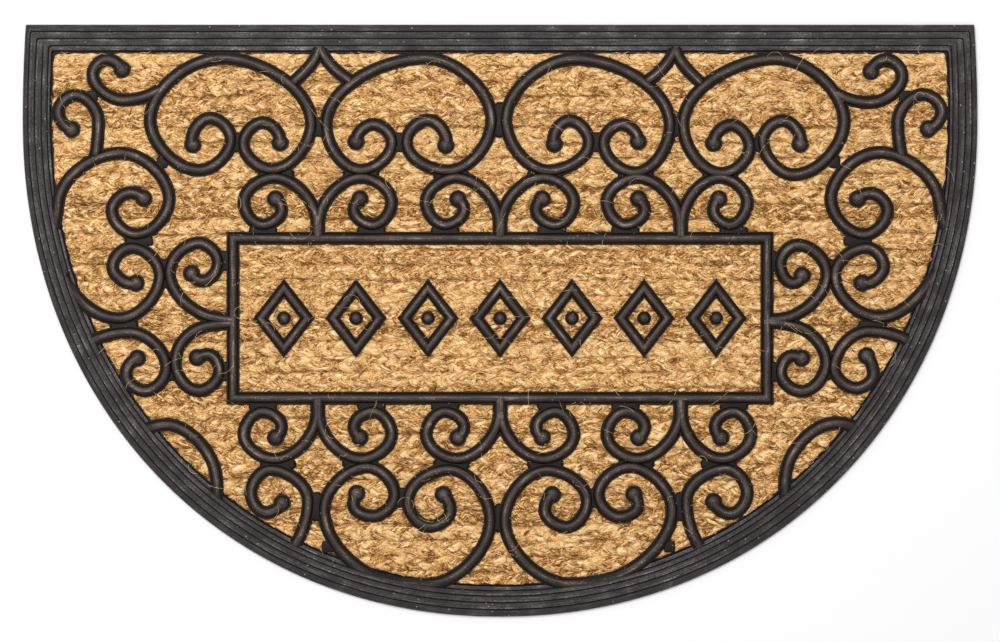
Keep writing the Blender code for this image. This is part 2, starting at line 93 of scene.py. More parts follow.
# The bars of the two halves, which are mirror images to within a few millimetres. Each bar says
# which of its ends curl up in a ball. Each row is a point that the middle of the left-hand bar
# passes: the heading in which it passes it, in degrees, then x and y, then how far the same
# point of the right-hand bar stands from the mirror image along x and y. A free end whose
# heading is ROUND is reached along a round arc.
BARS = {
    "top_outer": (BallEnds.BOTH, (
        (ROUND, -241.0, 138.0, -5.5, 0.5), (EAST, -227.5, 159.0, -5.5, -2.0),
        (SOUTH, -211.0, 142.5, -5.0, -1.0), (WEST, -236.0, 118.0, -5.5, -3.5),
        (NORTH, -274.5, 157.5, -4.5, -1.0), (EAST, -218.0, 206.0, -1.5, -0.5),
        (SOUTH, -148.0, 154.5, -4.5, -1.0), (WEST, -179.0, 118.5, -5.0, -3.0),
        (NORTH, -201.5, 139.0, -5.5, -2.5), (EAST, -186.0, 155.5, -5.0, -2.0),
        (ROUND, -172.5, 139.5, -5.0, -0.5),
    )),
    "top_inner": (BallEnds.BOTH, (
        (ROUND, -113.0, 140.5, -4.5, 0.0), (EAST, -99.5, 154.0, -4.0, 0.0),
        (SOUTH, -84.5, 140.0, -3.5, -0.5), (WEST, -109.0, 118.0, -3.5, -2.0),
        (NORTH, -136.5, 153.0, -3.0, 0.0), (EAST, -58.5, 206.0, 0.5, -0.5),
        (SOUTH, -6.5, 157.0, -2.0, 0.0), (WEST, -41.0, 117.5, -2.5, 0.0),
        (NORTH, -73.5, 140.0, -3.5, 0.0), (EAST, -56.5, 157.5, -2.0, -0.5),
        (ROUND, -42.5, 137.5, 0.0, 1.0),
    )),
    "corner_upper": (BallEnds.START, (
        (ROUND, -296.5, 197.0, -5.5, -1.5), (WEST, -308.5, 205.0, -5.5, 0.0),
        (SOUTH, -319.5, 193.0, -4.0, -1.0), (EAST, -295.0, 173.0, -5.0, -2.0),
        (ROUND, -267.5, 180.9, -5.0, -2.0),
    )),
    "corner_lower": (BallEnds.START, (
        (ROUND, -336.0, 150.0, 0.0, 0.5), (NORTH, -346.5, 164.0, 0.0, 0.0),
        (EAST, -333.0, 177.0, -1.0, 0.5), (SOUTH, -315.0, 156.0, -3.0, 0.0),
        (ROUND, -317.5, 129.0, -2.5, 0.0),
    )),
    "side_upper": (BallEnds.START, (
        (ROUND, -279.5, 96.0, 1.0, -0.5), (WEST, -290.0, 100.5, 0.5, -0.5),
        (SOUTH, -304.5, 86.5, -0.5, 0.0), (EAST, -285.5, 67.5, 0.0, 0.0),
        (NORTH, -259.5, 95.5, 0.0, 0.0), (WEST, -297.5, 131.5, 0.0, 0.5),
        (262, -346.3, 94.0, -1.8, 0.0), (SOUTH, -350.0, 72.0, -1.0, 0.0),
    )),
    "side_middle_outer": (BallEnds.START, (
        (ROUND, -285.5, 29.5, -1.5, 0.0), (NORTH, -304.0, 42.5, -3.0, 0.0),
        (EAST, -289.0, 57.5, -1.5, 0.0), (SOUTH, -266.5, 35.5, -4.0, 0.0),
        (WEST, -299.0, 1.5, -1.5, 1.0), (130, -334.0, 21.0, -3.0, 1.5),
        (ROUND, -346.0, 38.0, -3.0, 0.0),
    )),
    "side_middle_inner": (BallEnds.START, (
        (ROUND, -242.0, 37.0, -5.0, -1.5), (EAST, -233.5, 31.0, -3.5, -1.5),
        (NORTH, -221.0, 45.5, -1.5, -1.0), (WEST, -236.0, 61.0, -2.5, -1.5),
        (SOUTH, -259.5, 38.0, -3.0, -1.0), (340, -230.5, 4.0, -2.5, -1.0),
        (352, -209.5, 0.6, -2.5, -0.6),
    )),
    "side_lower_outer": (BallEnds.START, (
        (ROUND, -284.5, -29.5, 3.0, 2.0), (SOUTH, -293.5, -42.0, -0.5, 0.0),
        (EAST, -278.5, -55.0, 1.0, 2.0), (NORTH, -261.5, -37.0, 0.5, 0.0),
        (WEST, -290.5, -9.0, -2.0, 1.0), (207, -318.0, -15.0, 1.0, 0.0),
        (ROUND, -336.0, -26.0, 1.0, 0.0),
    )),
    "side_lower_inner": (BallEnds.START, (
        (ROUND, -237.5, -29.0, -1.0, -0.5), (EAST, -229.0, -26.5, 0.0, -1.0),
        (SOUTH, -220.0, -39.5, 0.0, -1.0), (WEST, -236.5, -55.0, 0.0, -0.5),
        (NORTH, -255.0, -33.0, 1.0, 0.0), (30, -240.0, -8.0, 0.0, 0.0),
        (5, -209.5, -2.0, 0.0, 1.0),
    )),
    "front_outer": (BallEnds.START, (
        (ROUND, -171.0, -143.0, -3.5, 1.0), (WEST, -183.5, -150.5, -3.0, -1.0),
        (NORTH, -195.5, -135.0, -1.5, 0.0), (EAST, -180.0, -116.7, -3.0, 0.7),
        (SOUTH, -150.3, -141.5, -4.3, 0.0), (242, -158.5, -172.0, -5.0, 0.0),
        (ROUND, -170.0, -190.0, -4.5, 0.0),
    )),
    "front_inner": (BallEnds.BOTH, (
        (ROUND, -112.5, -135.5, -7.5, -0.5), (SOUTH, -115.0, -144.0, -7.0, -1.0),
        (EAST, -100.0, -153.5, -6.0, -0.5), (NORTH, -82.5, -136.5, -5.5, 0.0),
        (WEST, -104.5, -114.7, -3.0, 0.2), (SOUTH, -138.2, -148.5, -3.2, 0.0),
        (337, -97.0, -201.5, -4.0, 1.5), (EAST, -58.0, -207.0, -3.0, 0.5),
        (NORTH, -7.5, -156.0, -4.0, 0.0), (WEST, -40.5, -116.5, -3.0, -0.5),
        (SOUTH, -72.5, -141.5, -4.0, 0.0), (EAST, -55.0, -161.5, -3.0, -0.5),
        (NORTH, -39.0, -148.5, -4.0, 0.0), (ROUND, -44.5, -136.5, -3.5, 0.0),
    )),
    "tie_outer": (BallEnds.NONE, (
        (258, -141.8, 214.0, -4.6, 0.0), (222, -163.0, 186.3, -5.0, 0.0),
    )),
    "tie_inner": (BallEnds.NONE, (
        (290, -141.2, 214.0, -3.4, 0.0), (328, -117.2, 187.9, -2.0, 0.0),
    )),
}

# The arc that springs from the lip at both ends, apart from the other bars, and how far the
# right-hand arc stands from its mirror image
ARC_SHIFT = (1.3, 1.2)
LEFT_ARC = (
    (20, -286.0, -88.0), (EAST, -262.0, -81.5), (300, -228.0, -106.0),
    (268, -222.0, -134.0), (262, -225.0, -152.0),
)

# The small scroll beside a stem. x counts from the stem and y from the panel's middle line.
STEMS = (-143.0, 0.0, 141.8)
STEM_SCROLL = (
    (ROUND, -33.1, 93.6), (SOUTH, -28.3, 85.0), (WEST, -43.2, 73.0), (NORTH, -58.0, 91.0),
    (EAST, -34.3, 110.6), (SOUTH, -0.8, 75.0), (SOUTH, -0.8, 62.7),
)

# Two of the scrolls beside the right-hand stem are narrower than the others.
NARROW_SCROLLS = {
    # stem, side, above or below the panel: share of the width
    (2, 1, 1): 0.9,
    (2, 1, -1): 0.95,
}

# Webs fill the corners where two bars touch: half the length along x, half the length along y
ACROSS = (11.5, 4.0)
WIDE = (14.5, 4.0)
TALL = (4.0, 14.5)
UPRIGHT = (4.0, 11.5)
SHORT_UPRIGHT = (4.0, 8.0)
SQUARE = (4.6, 4.6)

# The webs of the left half, and how far those of the right half stand from a mirror image
WEB_SHIFT = (-2.5, 0.0)
LEFT_WEBS = (
    # x, y, web
    (-206.5, 140.0, SHORT_UPRIGHT), (-142.0, 152.0, SHORT_UPRIGHT), (-135.5, -177.5, SQUARE),
    (-79.0, 140.0, SHORT_UPRIGHT), (-175.5, 114.5, WIDE), (-109.0, 114.5, WIDE),
    (-38.0, 114.0, WIDE), (-283.0, 62.5, ACROSS), (-263.0, 37.0, UPRIGHT),
    (-295.0, -4.0, ACROSS), (-258.5, -36.0, UPRIGHT), (-265.0, 124.0, SQUARE),
    (-320.0, 176.0, SQUARE), (-186.0, 70.0, ACROSS), (-101.0, 70.0, ACROSS),
    (-43.0, 70.0, ACROSS), (-186.0, -66.5, ACROSS), (-101.0, -66.5, ACROSS),
    (-43.0, -66.5, ACROSS), (-174.0, -112.5, WIDE), (-109.5, -112.0, WIDE),
    (-38.0, -112.5, WIDE), (-144.0, -146.0, UPRIGHT), (-77.5, -139.0, SHORT_UPRIGHT),
    (-216.0, 47.0, SHORT_UPRIGHT), (-216.0, -40.0, SHORT_UPRIGHT),
)
MIDDLE_WEBS = ((0.0, 157.5, TALL), (0.0, -155.0, UPRIGHT))


@dataclass(frozen=True)
class Strip:
    """A band of a surface, given row by row.

    Attributes:
        places: the corners in millimetres, as rows by columns by three.
        run: millimetres along the strip and round it, as rows by columns by two.
        shade: how open to the light each corner lies, from 0 in a groove to 1 on a crest.
        tone: the band's own colour between the darkest and the palest, from 0 to 1.
    """

    places: np.ndarray
    run: np.ndarray
    shade: np.ndarray
    tone: float = 0.5


def unit(vectors: np.ndarray) -> np.ndarray:
    """The same vectors, each made one long."""
    return vectors / np.linalg.norm(vectors, axis=-1, keepdims=True)


def square_to(ways: np.ndarray) -> tuple[np.ndarray, np.ndarray]:
    """The level and the upward direction at right angles to each way."""
    sides = unit(np.cross((0.0, 0.0, 1.0), ways))
    return sides, np.cross(ways, sides)


def travelled(line: np.ndarray) -> np.ndarray:
    """How far along a line each of its points lies."""
    steps = np.linalg.norm(np.diff(line, axis=0), axis=1)
    return np.concatenate([[0.0], np.cumsum(steps)])


def crossed(rows: np.ndarray, columns: np.ndarray) -> np.ndarray:
    """Pairs the value of each row with that of each column."""
    return np.dstack(np.broadcast_arrays(rows[:, None], columns[None, :]))


def raised(plan: np.ndarray, heights: np.ndarray) -> np.ndarray:
    """Lifts the places of a plan to their heights, given for each column."""
    return np.dstack([plan, np.broadcast_to(heights, plan.shape[:2])])


def put_in_scene(name: str, data: bpy.types.ID) -> bpy.types.Object:
    """Makes an object of a mesh, a lamp or a camera, and puts it in the scene.

    Args:
        name: the object's name.
        data: what the object shows.

    Returns:
        The object.
    """
    obj = bpy.data.objects.new(name, data)
    bpy.context.scene.collection.objects.link(obj)
    return obj


def lay_strips(name: str, strips: Sequence[Strip], sharp: float = 180.0) -> bpy.types.Object:
    """Lays one grid over strips of equal width, cuts it between them and closes its ends.

    Args:
        name: the object's name.
        strips: the bands, all with the same number of columns.
        sharp: degrees between two faces above which their edge is drawn sharp.

    Returns:
        The object, with the UV map "run" in metres and the attributes "shade" and "tone".
    """
    places = np.concatenate([strip.places for strip in strips]) * MM
    run = np.concatenate([strip.run for strip in strips]) * MM
    shade = np.concatenate([strip.shade for strip in strips])
    lengths = [len(strip.places) for strip in strips]
    owner = np.repeat(np.arange(len(strips)), lengths)
    tone = np.repeat([strip.tone for strip in strips], lengths)
    rows, across, _ = places.shape

    bm = bmesh.new()
    bmesh.ops.create_grid(bm, x_segments=rows - 1, y_segments=across - 1, size=1.0)
    bm.verts.index_update()
    laid = np.array([vert.co.xy for vert in bm.verts])
    row = np.rint((laid[:, 0] + 1) / 2 * (rows - 1)).astype(int)
    column = np.rint((laid[:, 1] + 1) / 2 * (across - 1)).astype(int)
    strip_of = owner[row].tolist()
    between = [
        face for face in bm.faces if len({strip_of[vert.index] for vert in face.verts}) > 1
    ]
    bmesh.ops.delete(bm, geom=between, context="FACES")
    mesh = bpy.data.meshes.new(name)
    bm.to_mesh(mesh)
    bm.free()

    mesh.vertices.foreach_set("co", places[row, column].ravel())
    corners = np.empty(len(mesh.loops), dtype=np.int32)
    mesh.loops.foreach_get("vertex_index", corners)
    mesh.uv_layers.new(name="run").uv.foreach_set("vector", run[row, column][corners].ravel())
    for label, values in (("shade", shade[row, column]), ("tone", tone[row])):
        mesh.attributes.new(label, "FLOAT", "POINT").data.foreach_set("value", values)

    bm = bmesh.new()
    bm.from_mesh(mesh)
    bmesh.ops.remove_doubles(bm, verts=bm.verts, dist=WELD)
    bmesh.ops.holes_fill(bm, edges=[edge for edge in bm.edges if edge.is_boundary], sides=0)
    bmesh.ops.recalc_face_normals(bm, faces=bm.faces)
    bm.to_mesh(mesh)
    bm.free()
    mesh.shade_smooth()
    if sharp < 180.0:
        mesh.set_sharp_from_angle(angle=math.radians(sharp))
    return put_in_scene(name, mesh)


def finish_piece(piece: bpy.types.Object, material: bpy.types.Material) -> None:
    """Dresses a piece, lets it ride on the mat and reports it.

    Args:
        piece: the finished shape.
        material: what it is made of.
    """
    piece.data.materials.append(material)
    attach(piece, BODY)
    triangles = sum(len(face.vertices) - 2 for face in piece.data.polygons)
    LOG.info("%s: %d triangles", piece.name, triangles)


def linear(hex_colour: str) -> tuple[float, float, float, float]:
    """Turns an sRGB hex colour into the linear colour that shaders take.

    Args:
        hex_colour: six hex digits after a #.

    Returns:
        Linear red, green, blue and an alpha of 1.
    """
    shares = [int(hex_colour[start:start + 2], 16) / 255 for start in (1, 3, 5)]
    red, green, blue = (
        share / 12.92 if share <= 0.04045 else ((share + 0.055) / 1.055) ** 2.4
        for share in shares
    )
    return red, green, blue, 1.0


Output = tuple[bpy.types.Node, str | int]  # a node and which of its outputs is meant

# Sockets of a Mix node for colours
MIX_SHARE, MIX_FIRST, MIX_SECOND, MIX_RESULT = 0, 6, 7, 2


def add_node(
    tree: bpy.types.NodeTree,
    kind: str,
    settings: dict[str | int, object],
    links: dict[str | int, Output],
) -> bpy.types.Node:
    """Adds a shader node.

    Args:
        tree: the material's node tree.
        kind: the node's type.
        settings: values for its sockets, or for its own properties.
        links: for a socket, the node and the output that feed it.

    Returns:
        The node.
    """
    node = tree.nodes.new(kind)
    for key, value in settings.items():
        if isinstance(key, str) and hasattr(node, key):
            setattr(node, key, value)
        else:
            node.inputs[key].default_value = value
    for key, (source, output) in links.items():
        tree.links.new(source.outputs[output], node.inputs[key])
    return node


class Recipe:
    """A material in the making: its Principled shader and the nodes that feed it."""

    def __init__(self, name: str) -> None:
        """Starts a material that has only its shader.

        Args:
            name: the material's name.
        """
        self.material = bpy.data.materials.new(name)
        self.material.use_nodes = True
        self.tree = self.material.node_tree
        self.shader = self.tree.nodes["Principled BSDF"]

    def place(self) -> Output:
        """Gives the places of the piece's own surface, in metres."""
        return add_node(self.tree, "ShaderNodeTexCoord", {}, {}), "Object"

    def attribute(self, name: str) -> Output:
        """Gives one of the piece's own attributes."""
        return add_node(self.tree, "ShaderNodeAttribute", {"attribute_name": name}, {}), "Fac"

    def run(self, length: float, width: float, turned: float = 0.0) -> Output:
        """Gives the way along and round the piece, counted in cells.

        Args:
            length: millimetres of a cell along the piece.
            width: millimetres of a cell across it.
            turned: degrees by which the cells lie askew.

        Returns:
            The way, as a vector.
        """
        run = add_node(self.tree, "ShaderNodeUVMap", {"uv_map": "run"}, {})
        settings = {
            "Scale": (1 / (length * MM), 1 / (width * MM), 1.0),
            "Rotation": (0.0, 0.0, math.radians(turned)),
        }
        return add_node(self.tree, "ShaderNodeMapping", settings, {"Vector": (run, "UV")}), "Vector"

    def noise(
        self, at: Output, scale: float, detail: float, roughness: float, warp: float = 0.0
    ) -> Output:
        """Draws noise.

        Args:
            at: what it is drawn over: the places, or the way along the piece.
            scale: grains to a unit of that.
            detail: how many finer layers it has.
            roughness: how much these have to say.
            warp: how far it is twisted.

        Returns:
            The noise, from 0 to 1.
        """
        settings = {
            "Scale": scale, "Detail": detail, "Roughness": roughness, "Distortion": warp
        }
        return add_node(self.tree, "ShaderNodeTexNoise", settings, {"Vector": at}), "Fac"

    def math(self, operation: str, *terms: Output | float, clamp: bool = False) -> Output:
        """Reckons with numbers and with what other nodes give.

        Args:
            operation: the sum's name in the math node.
            terms: what goes into it, in order.
            clamp: whether the result is kept between 0 and 1.

        Returns:
            The result.
        """
        settings = {"operation": operation, "use_clamp": clamp}
        settings |= {at: term for at, term in enumerate(terms) if not isinstance(term, tuple)}
        links = {at: term for at, term in enumerate(terms) if isinstance(term, tuple)}
        return add_node(self.tree, "ShaderNodeMath", settings, links), "Value"

    def spread(self, value: Output, before: Pair, after: Pair) -> Output:
        """Moves a value from one range to another.

        Args:
            value: what a node gives.
            before: the range that it has.
            after: the range that it gets.

        Returns:
            The moved value.
        """
        sockets = ("From Min", "From Max", "To Min", "To Max")
        settings = dict(zip(sockets, before + after))
        return add_node(self.tree, "ShaderNodeMapRange", settings, {"Value": value}), "Result"

    def ramp(self, value: Output, stops: Sequence[tuple[float, str]]) -> Output:
        """Colours a value by stops of a place from 0 to 1 and an sRGB hex colour.

        Args:
            value: what a node gives.
            stops: the stops, in rising order.

        Returns:
            The colour.
        """
        node = add_node(self.tree, "ShaderNodeValToRGB", {}, {"Fac": value})
        elements = node.color_ramp.elements
        while len(elements) < len(stops):
            elements.new(0.5)
        for element, (place, colour) in zip(elements, stops):
            element.position = place
            element.color = linear(colour)
        return node, "Color"

    def blend(self, share: Output, first: Output | str, second: Output | str) -> Output:
        """Blends two colours, each an sRGB hex colour or what a node gives.

        Args:
            share: how much of the second there is.
            first: the one colour.
            second: the other colour.

        Returns:
            The blend.
        """
        settings, links = {"data_type": "RGBA"}, {MIX_SHARE: share}
        for socket, colour in ((MIX_FIRST, first), (MIX_SECOND, second)):
            if isinstance(colour, str):
                settings[socket] = linear(colour)
            else:
                links[socket] = colour
        return add_node(self.tree, "ShaderNodeMix", settings, links), MIX_RESULT

    def bump(self, height: Output, strength: float, relief: float) -> Output:
        """Turns a height from 0 to 1 into a relief, which is given in millimetres."""
        settings = {"Strength": strength, "Distance": relief * MM}
        return add_node(self.tree, "ShaderNodeBump", settings, {"Height": height}), "Normal"

    def finish(self, values: dict[str, Output | float]) -> bpy.types.Material:
        """Sets or feeds the shader's sockets and gives the material.

        Args:
            values: for each socket, a value or what a node gives.

        Returns:
            The material.
        """
        for socket, value in values.items():
            if isinstance(value, tuple) and isinstance(value[0], bpy.types.Node):
                self.tree.links.new(value[0].outputs[value[1]], self.shader.inputs[socket])
            else:
                self.shader.inputs[socket].default_value = value
        return self.material


@dataclass(frozen=True)
class MouldedRubber:
    """Black natural rubber, pressed in a mould: dull, with dust and a painted highlight on crests.

    Its grooves are darkened with painted shade. Fine lines run along the moulding. The mould is
    cut along it, and feet wear it that way.
    """

    name: str
    # Colours, darkest first: painted shade in the grooves, bare rubber, dust with a painted
    # highlight on what stands proud, and pale crumbs of dust.
    groove: str
    face: str
    dust_and_highlight: str
    crumbs: str
    roughness: float
    line_length: float = 26.0  # mm
    line_width: float = 1.2  # mm; real lines are finer, and these are as fine as the view shows
    grain: float = 1.3  # mm between grains of dust
    cloud: float = 16.0  # mm between the places where dust gathers
    crumb: float = 7.0  # mm between the crumbs of pale dust
    line_share: float = 1.5  # how much each pattern has to say in the dust's depth
    grain_share: float = 1.1
    cloud_share: float = 1.2
    bare: float = 1.2  # what is taken off the three patterns' sum, so that rubber shows
    crumb_edge: Pair = (0.09, 0.05)  # a crumb's radii, as shares of a cell
    relief: float = 0.12  # mm
    ior: float = 1.42

    def material(self) -> bpy.types.Material:
        """Makes the material.

        Returns:
            The rubber.
        """
        mix = Recipe(self.name)
        place, shade = mix.place(), mix.attribute("shade")
        lines = mix.noise(mix.run(self.line_length, self.line_width), 1.0, 3.0, 0.6)
        grit = mix.noise(place, 1 / (self.grain * MM), 2.0, 0.7)
        clouds = mix.noise(place, 1 / (self.cloud * MM), 4.0, 0.6)
        worn = mix.math("MULTIPLY_ADD", lines, self.line_share, -self.bare)
        dust = mix.math("MULTIPLY_ADD", grit, self.grain_share, worn)
        drift = mix.math("MULTIPLY_ADD", clouds, self.cloud_share, dust)
        # Times shade, the dust gives way to painted shade in the grooves and shows as a painted
        # highlight on the crests.
        level = mix.math("MULTIPLY", drift, shade, clamp=True)
        stops = ((0.0, self.groove), (0.45, self.face), (0.8, self.dust_and_highlight), (1.0, self.crumbs))
        cells = {"Scale": 1 / (self.crumb * MM)}
        crumbs = add_node(mix.tree, "ShaderNodeTexVoronoi", cells, {"Vector": place})
        crumb = mix.spread((crumbs, "Distance"), self.crumb_edge, (0.0, 1.0))
        return mix.finish({
            "Base Color": mix.blend(crumb, mix.ramp(level, stops), self.crumbs),
            "Normal": mix.bump(mix.math("ADD", lines, grit), 0.7, self.relief),
            # A groove sees little of the lamp, so it has little gloss.
            "Specular IOR Level": mix.spread(shade, (0.0, 0.7), (0.2, 0.5)),
            "Roughness": self.roughness,
            "IOR": self.ior,
        })


@dataclass(frozen=True)
class CoirYarn:
    """Coir: husk fibre spun loosely into strands, straw gold on top, with painted shade, brown, in
    the depth.

    Its fibres lie along the strand, so the eye sees short hairs of every shade.
    """

    name: str
    shades: Sequence[tuple[float, str]]
    # The brown of the painted shade where the coir lies low.
    depth: str
    hair_length: float = 9.0  # mm
    hair_width: float = 2.4  # mm; a fibre is 0.2 mm, and this is a lock of them
    askew: float = 9.0  # degrees that the hairs lie off their strand's way
    crossing: float = -24.0  # degrees that the hairs which cross them do
    sharpness: Pair = (10.0, 14.0)  # of the strokes where the one and the other hairs part
    tuft: float = 5.0  # mm
    stroke_share: float = 0.34  # how much each pattern has to say in the colour
    tuft_share: float = 0.35
    tone_share: float = 0.16
    darker: float = 0.4
    relief: float = 0.9  # mm

    def material(self) -> bpy.types.Material:
        """Makes the material.

        Returns:
            The coir.
        """
        mix = Recipe(self.name)
        size = self.hair_length, self.hair_width
        hairs = mix.noise(mix.run(*size, self.askew), 1.0, 3.0, 0.65, warp=0.6)
        across = mix.noise(mix.run(*size, self.crossing), 1.0, 3.0, 0.65)
        tufts = mix.noise(mix.place(), 1 / (self.tuft * MM), 3.0, 0.6)
        partings = [self.parting(mix, *pair) for pair in zip((hairs, across), self.sharpness)]
        both = mix.math("MINIMUM", *partings)
        parted = mix.math("MULTIPLY_ADD", both, self.stroke_share, hairs)
        mixed = mix.math("MULTIPLY_ADD", tufts, self.tuft_share, parted)
        toned = mix.math("MULTIPLY_ADD", mix.attribute("tone"), self.tone_share, mixed)
        placed = mix.math("SUBTRACT", toned, self.darker, clamp=True)
        colour = mix.ramp(placed, self.shades)
        return mix.finish({
            # The lower a corner lies, the more painted shade browns it.
            "Base Color": mix.blend(mix.attribute("shade"), self.depth, colour),
            "Normal": mix.bump(mixed, 1.0, self.relief),
            "Roughness": 0.85,
            "Specular IOR Level": 0.15,
        })

    @staticmethod
    def parting(mix: Recipe, hairs: Output, sharpness: float) -> Output:
        """Draws strokes of painted shade where two hairs part: 0 in the stroke, 1 on the hairs."""
        apart = mix.math("ABSOLUTE", mix.math("SUBTRACT", hairs, 0.5))
        return mix.math("MULTIPLY", apart, sharpness, clamp=True)


@dataclass(frozen=True)
class LooseFibre:
    """Single coir fibres: smooth husk fibre, each of its own colour from brown to straw."""

    name: str
    dark: str
    middle: str
    pale: str

    def material(self) -> bpy.types.Material:
        """Makes the material.

        Returns:
            The fibre.
        """
        mix = Recipe(self.name)
        stops = ((0.05, self.dark), (0.4, self.middle), (1.0, self.pale))
        return mix.finish({
            "Base Color": mix.ramp(mix.attribute("tone"), stops),
            "Roughness": 0.55,
            "Specular IOR Level": 0.15,
        })


@dataclass(frozen=True)
class PaintedFloor:
    """A plain floor in matt white paint, which takes a soft shadow and no gloss."""

    colour: str = "#f7f7f7"

    def material(self) -> bpy.types.Material:
        """Makes the material."""
        values = {"Base Color": linear(self.colour), "Roughness": 0.95}
        return Recipe("matt_white_floor_paint").finish(values)


BORDER_RUBBER = MouldedRubber(
    "black_moulded_rubber", roughness=0.7,
    groove="#1e1a1a", face="#302a2b", dust_and_highlight="#5f5858", crumbs="#a39c9a",
)
BAR_RUBBER = MouldedRubber(
    "black_pressed_rubber_bars", roughness=0.5,
    groove="#0c0705", face="#261b16", dust_and_highlight="#4c3d36", crumbs="#857668",
)
COIR = CoirYarn(
    "braided_coir",
    shades=(
        (0.3, "#6e431a"), (0.42, "#c08848"), (0.54, "#ffcf8c"), (0.7, "#ffdaa0"),
        (0.9, "#ffe8bc"),
    ),
    depth="#9a6630",
)
LOOSE_COIR = LooseFibre("loose_coir_fibre", dark="#6e431a", middle="#f7c681", pale="#ffe2b0")


@dataclass
class Outline:
    """The plan of the mat: a straight edge, sides that draw in towards it and a curved front.

    Insets are distances in from the outline at the straight edge, the sides and the middle of
    the front.
    """

    width: float
    depth: float
    straight_edge: float = 745.2
    widest_drop: float = 74.8
    curve_power: float = 2.085  # of the superellipse below the widest line
    top_shares: Sequence[float] = (0.0, 0.4, 0.8, 0.95)  # where the straight edge has points
    corner_steps: int = 4
    upper_steps: int = 12
    lower_steps: int = 96
    top: float = field(init=False)
    widest: float = field(init=False)

    def __post_init__(self) -> None:
        """Places the straight edge and the widest line."""
        self.top = self.depth / 2
        self.widest = self.top - self.widest_drop

    def half_width_above(self, y: float | np.ndarray) -> float | np.ndarray:
        """Half the mat's width between the widest line and the straight edge."""
        drawn_in = (self.width - self.straight_edge) / 2
        return self.width / 2 - drawn_in * ((y - self.widest) / self.widest_drop) ** 2

    def curve_point(self, angle: float) -> tuple[Vector, Vector]:
        """A point of the curved front, right of the middle, and its outward normal.

        Args:
            angle: 0 at the widest line and a right angle at the middle of the front.

        Returns:
            The point and the normal.
        """
        across, down = self.width / 2, self.depth - self.widest_drop
        x = across * math.cos(angle) ** (2 / self.curve_power)
        drop = down * max(math.sin(angle), 0.0) ** (2 / self.curve_power)
        power = self.curve_power - 1
        normal = Vector(((x / across) ** power / across, -((drop / down) ** power) / down))
        return Vector((x, self.widest - drop)), normal.normalized()

    def ring(self, insets: Triple, corner: float) -> np.ndarray:
        """The closed loop that lies these insets inside the outline.

        Args:
            insets: at the straight edge, the sides and the front.
            corner: how far the rounding of the two corners reaches along their edges.

        Returns:
            The loop's points, from the middle of the straight edge round by the right.
        """
        straight, side, front = insets
        top = self.top - straight
        tip = Vector((self.half_width_above(top) - side, top))
        along_top, along_side = tip - Vector((corner, 0.0)), tip - Vector((0.0, corner))
        right = [Vector((tip.x * share, top)) for share in self.top_shares]
        for step in range(self.corner_steps + 1):
            t = step / self.corner_steps
            right.append((1 - t) ** 2 * along_top + 2 * t * (1 - t) * tip + t * t * along_side)
        start = along_side.y
        for step in range(1, self.upper_steps):
            y = start + (self.widest - start) * step / self.upper_steps
            right.append(Vector((self.half_width_above(y) - side, y)))
        for step in range(self.lower_steps):
            angle = math.pi / 2 * step / self.lower_steps
            point, normal = self.curve_point(angle)
            right.append(point - normal * (side + (front - side) * math.sin(angle)))
        bottom = Vector((0.0, self.top - self.depth + front))
        left = [Vector((-point.x, point.y)) for point in reversed(right)]
        return np.array([*right, bottom, *left])

    def inset(self, places: np.ndarray, insets: Triple, corner: float) -> np.ndarray:
        """How far places lie inside the loop with these insets; negative is outside.

        Args:
            places: any array of points whose last axis starts with x and y.
            insets: as for ring.
            corner: the radius of the loop's two corners.

        Returns:
            One distance a place.
        """
        straight, side, front = insets
        x, y = np.abs(places[..., 0]), places[..., 1]
        from_top = self.top - straight - y
        from_side = self.half_width_above(np.maximum(y, self.widest)) - side - x
        past = np.maximum(corner - from_top, 0.0), np.maximum(corner - from_side, 0.0)
        above = np.minimum(from_top, from_side)
        rounded = corner - np.hypot(*past)
        above = np.where((past[0] > 0) & (past[1] > 0), rounded, above)
        across = self.width / 2 - side
        down = self.depth - self.widest_drop - front
        power = self.curve_power
        share_x = np.maximum(x / across, TINY)
        share_y = np.maximum((self.widest - y) / down, TINY)
        level = share_x**power + share_y**power
        slope = power * np.hypot(share_x ** (power - 1) / across, share_y ** (power - 1) / down)
        below = np.minimum((1 - level) / slope, from_top)
        return np.where(y > self.widest, above, below)


# The border's inner wall: its inset at the straight edge, the sides and the front
WALL = (20.6, 21.8, 23.9)
WALL_CORNER = 2.0
LIP_WIDTH = 3.0
LIP_TOP = 8.0


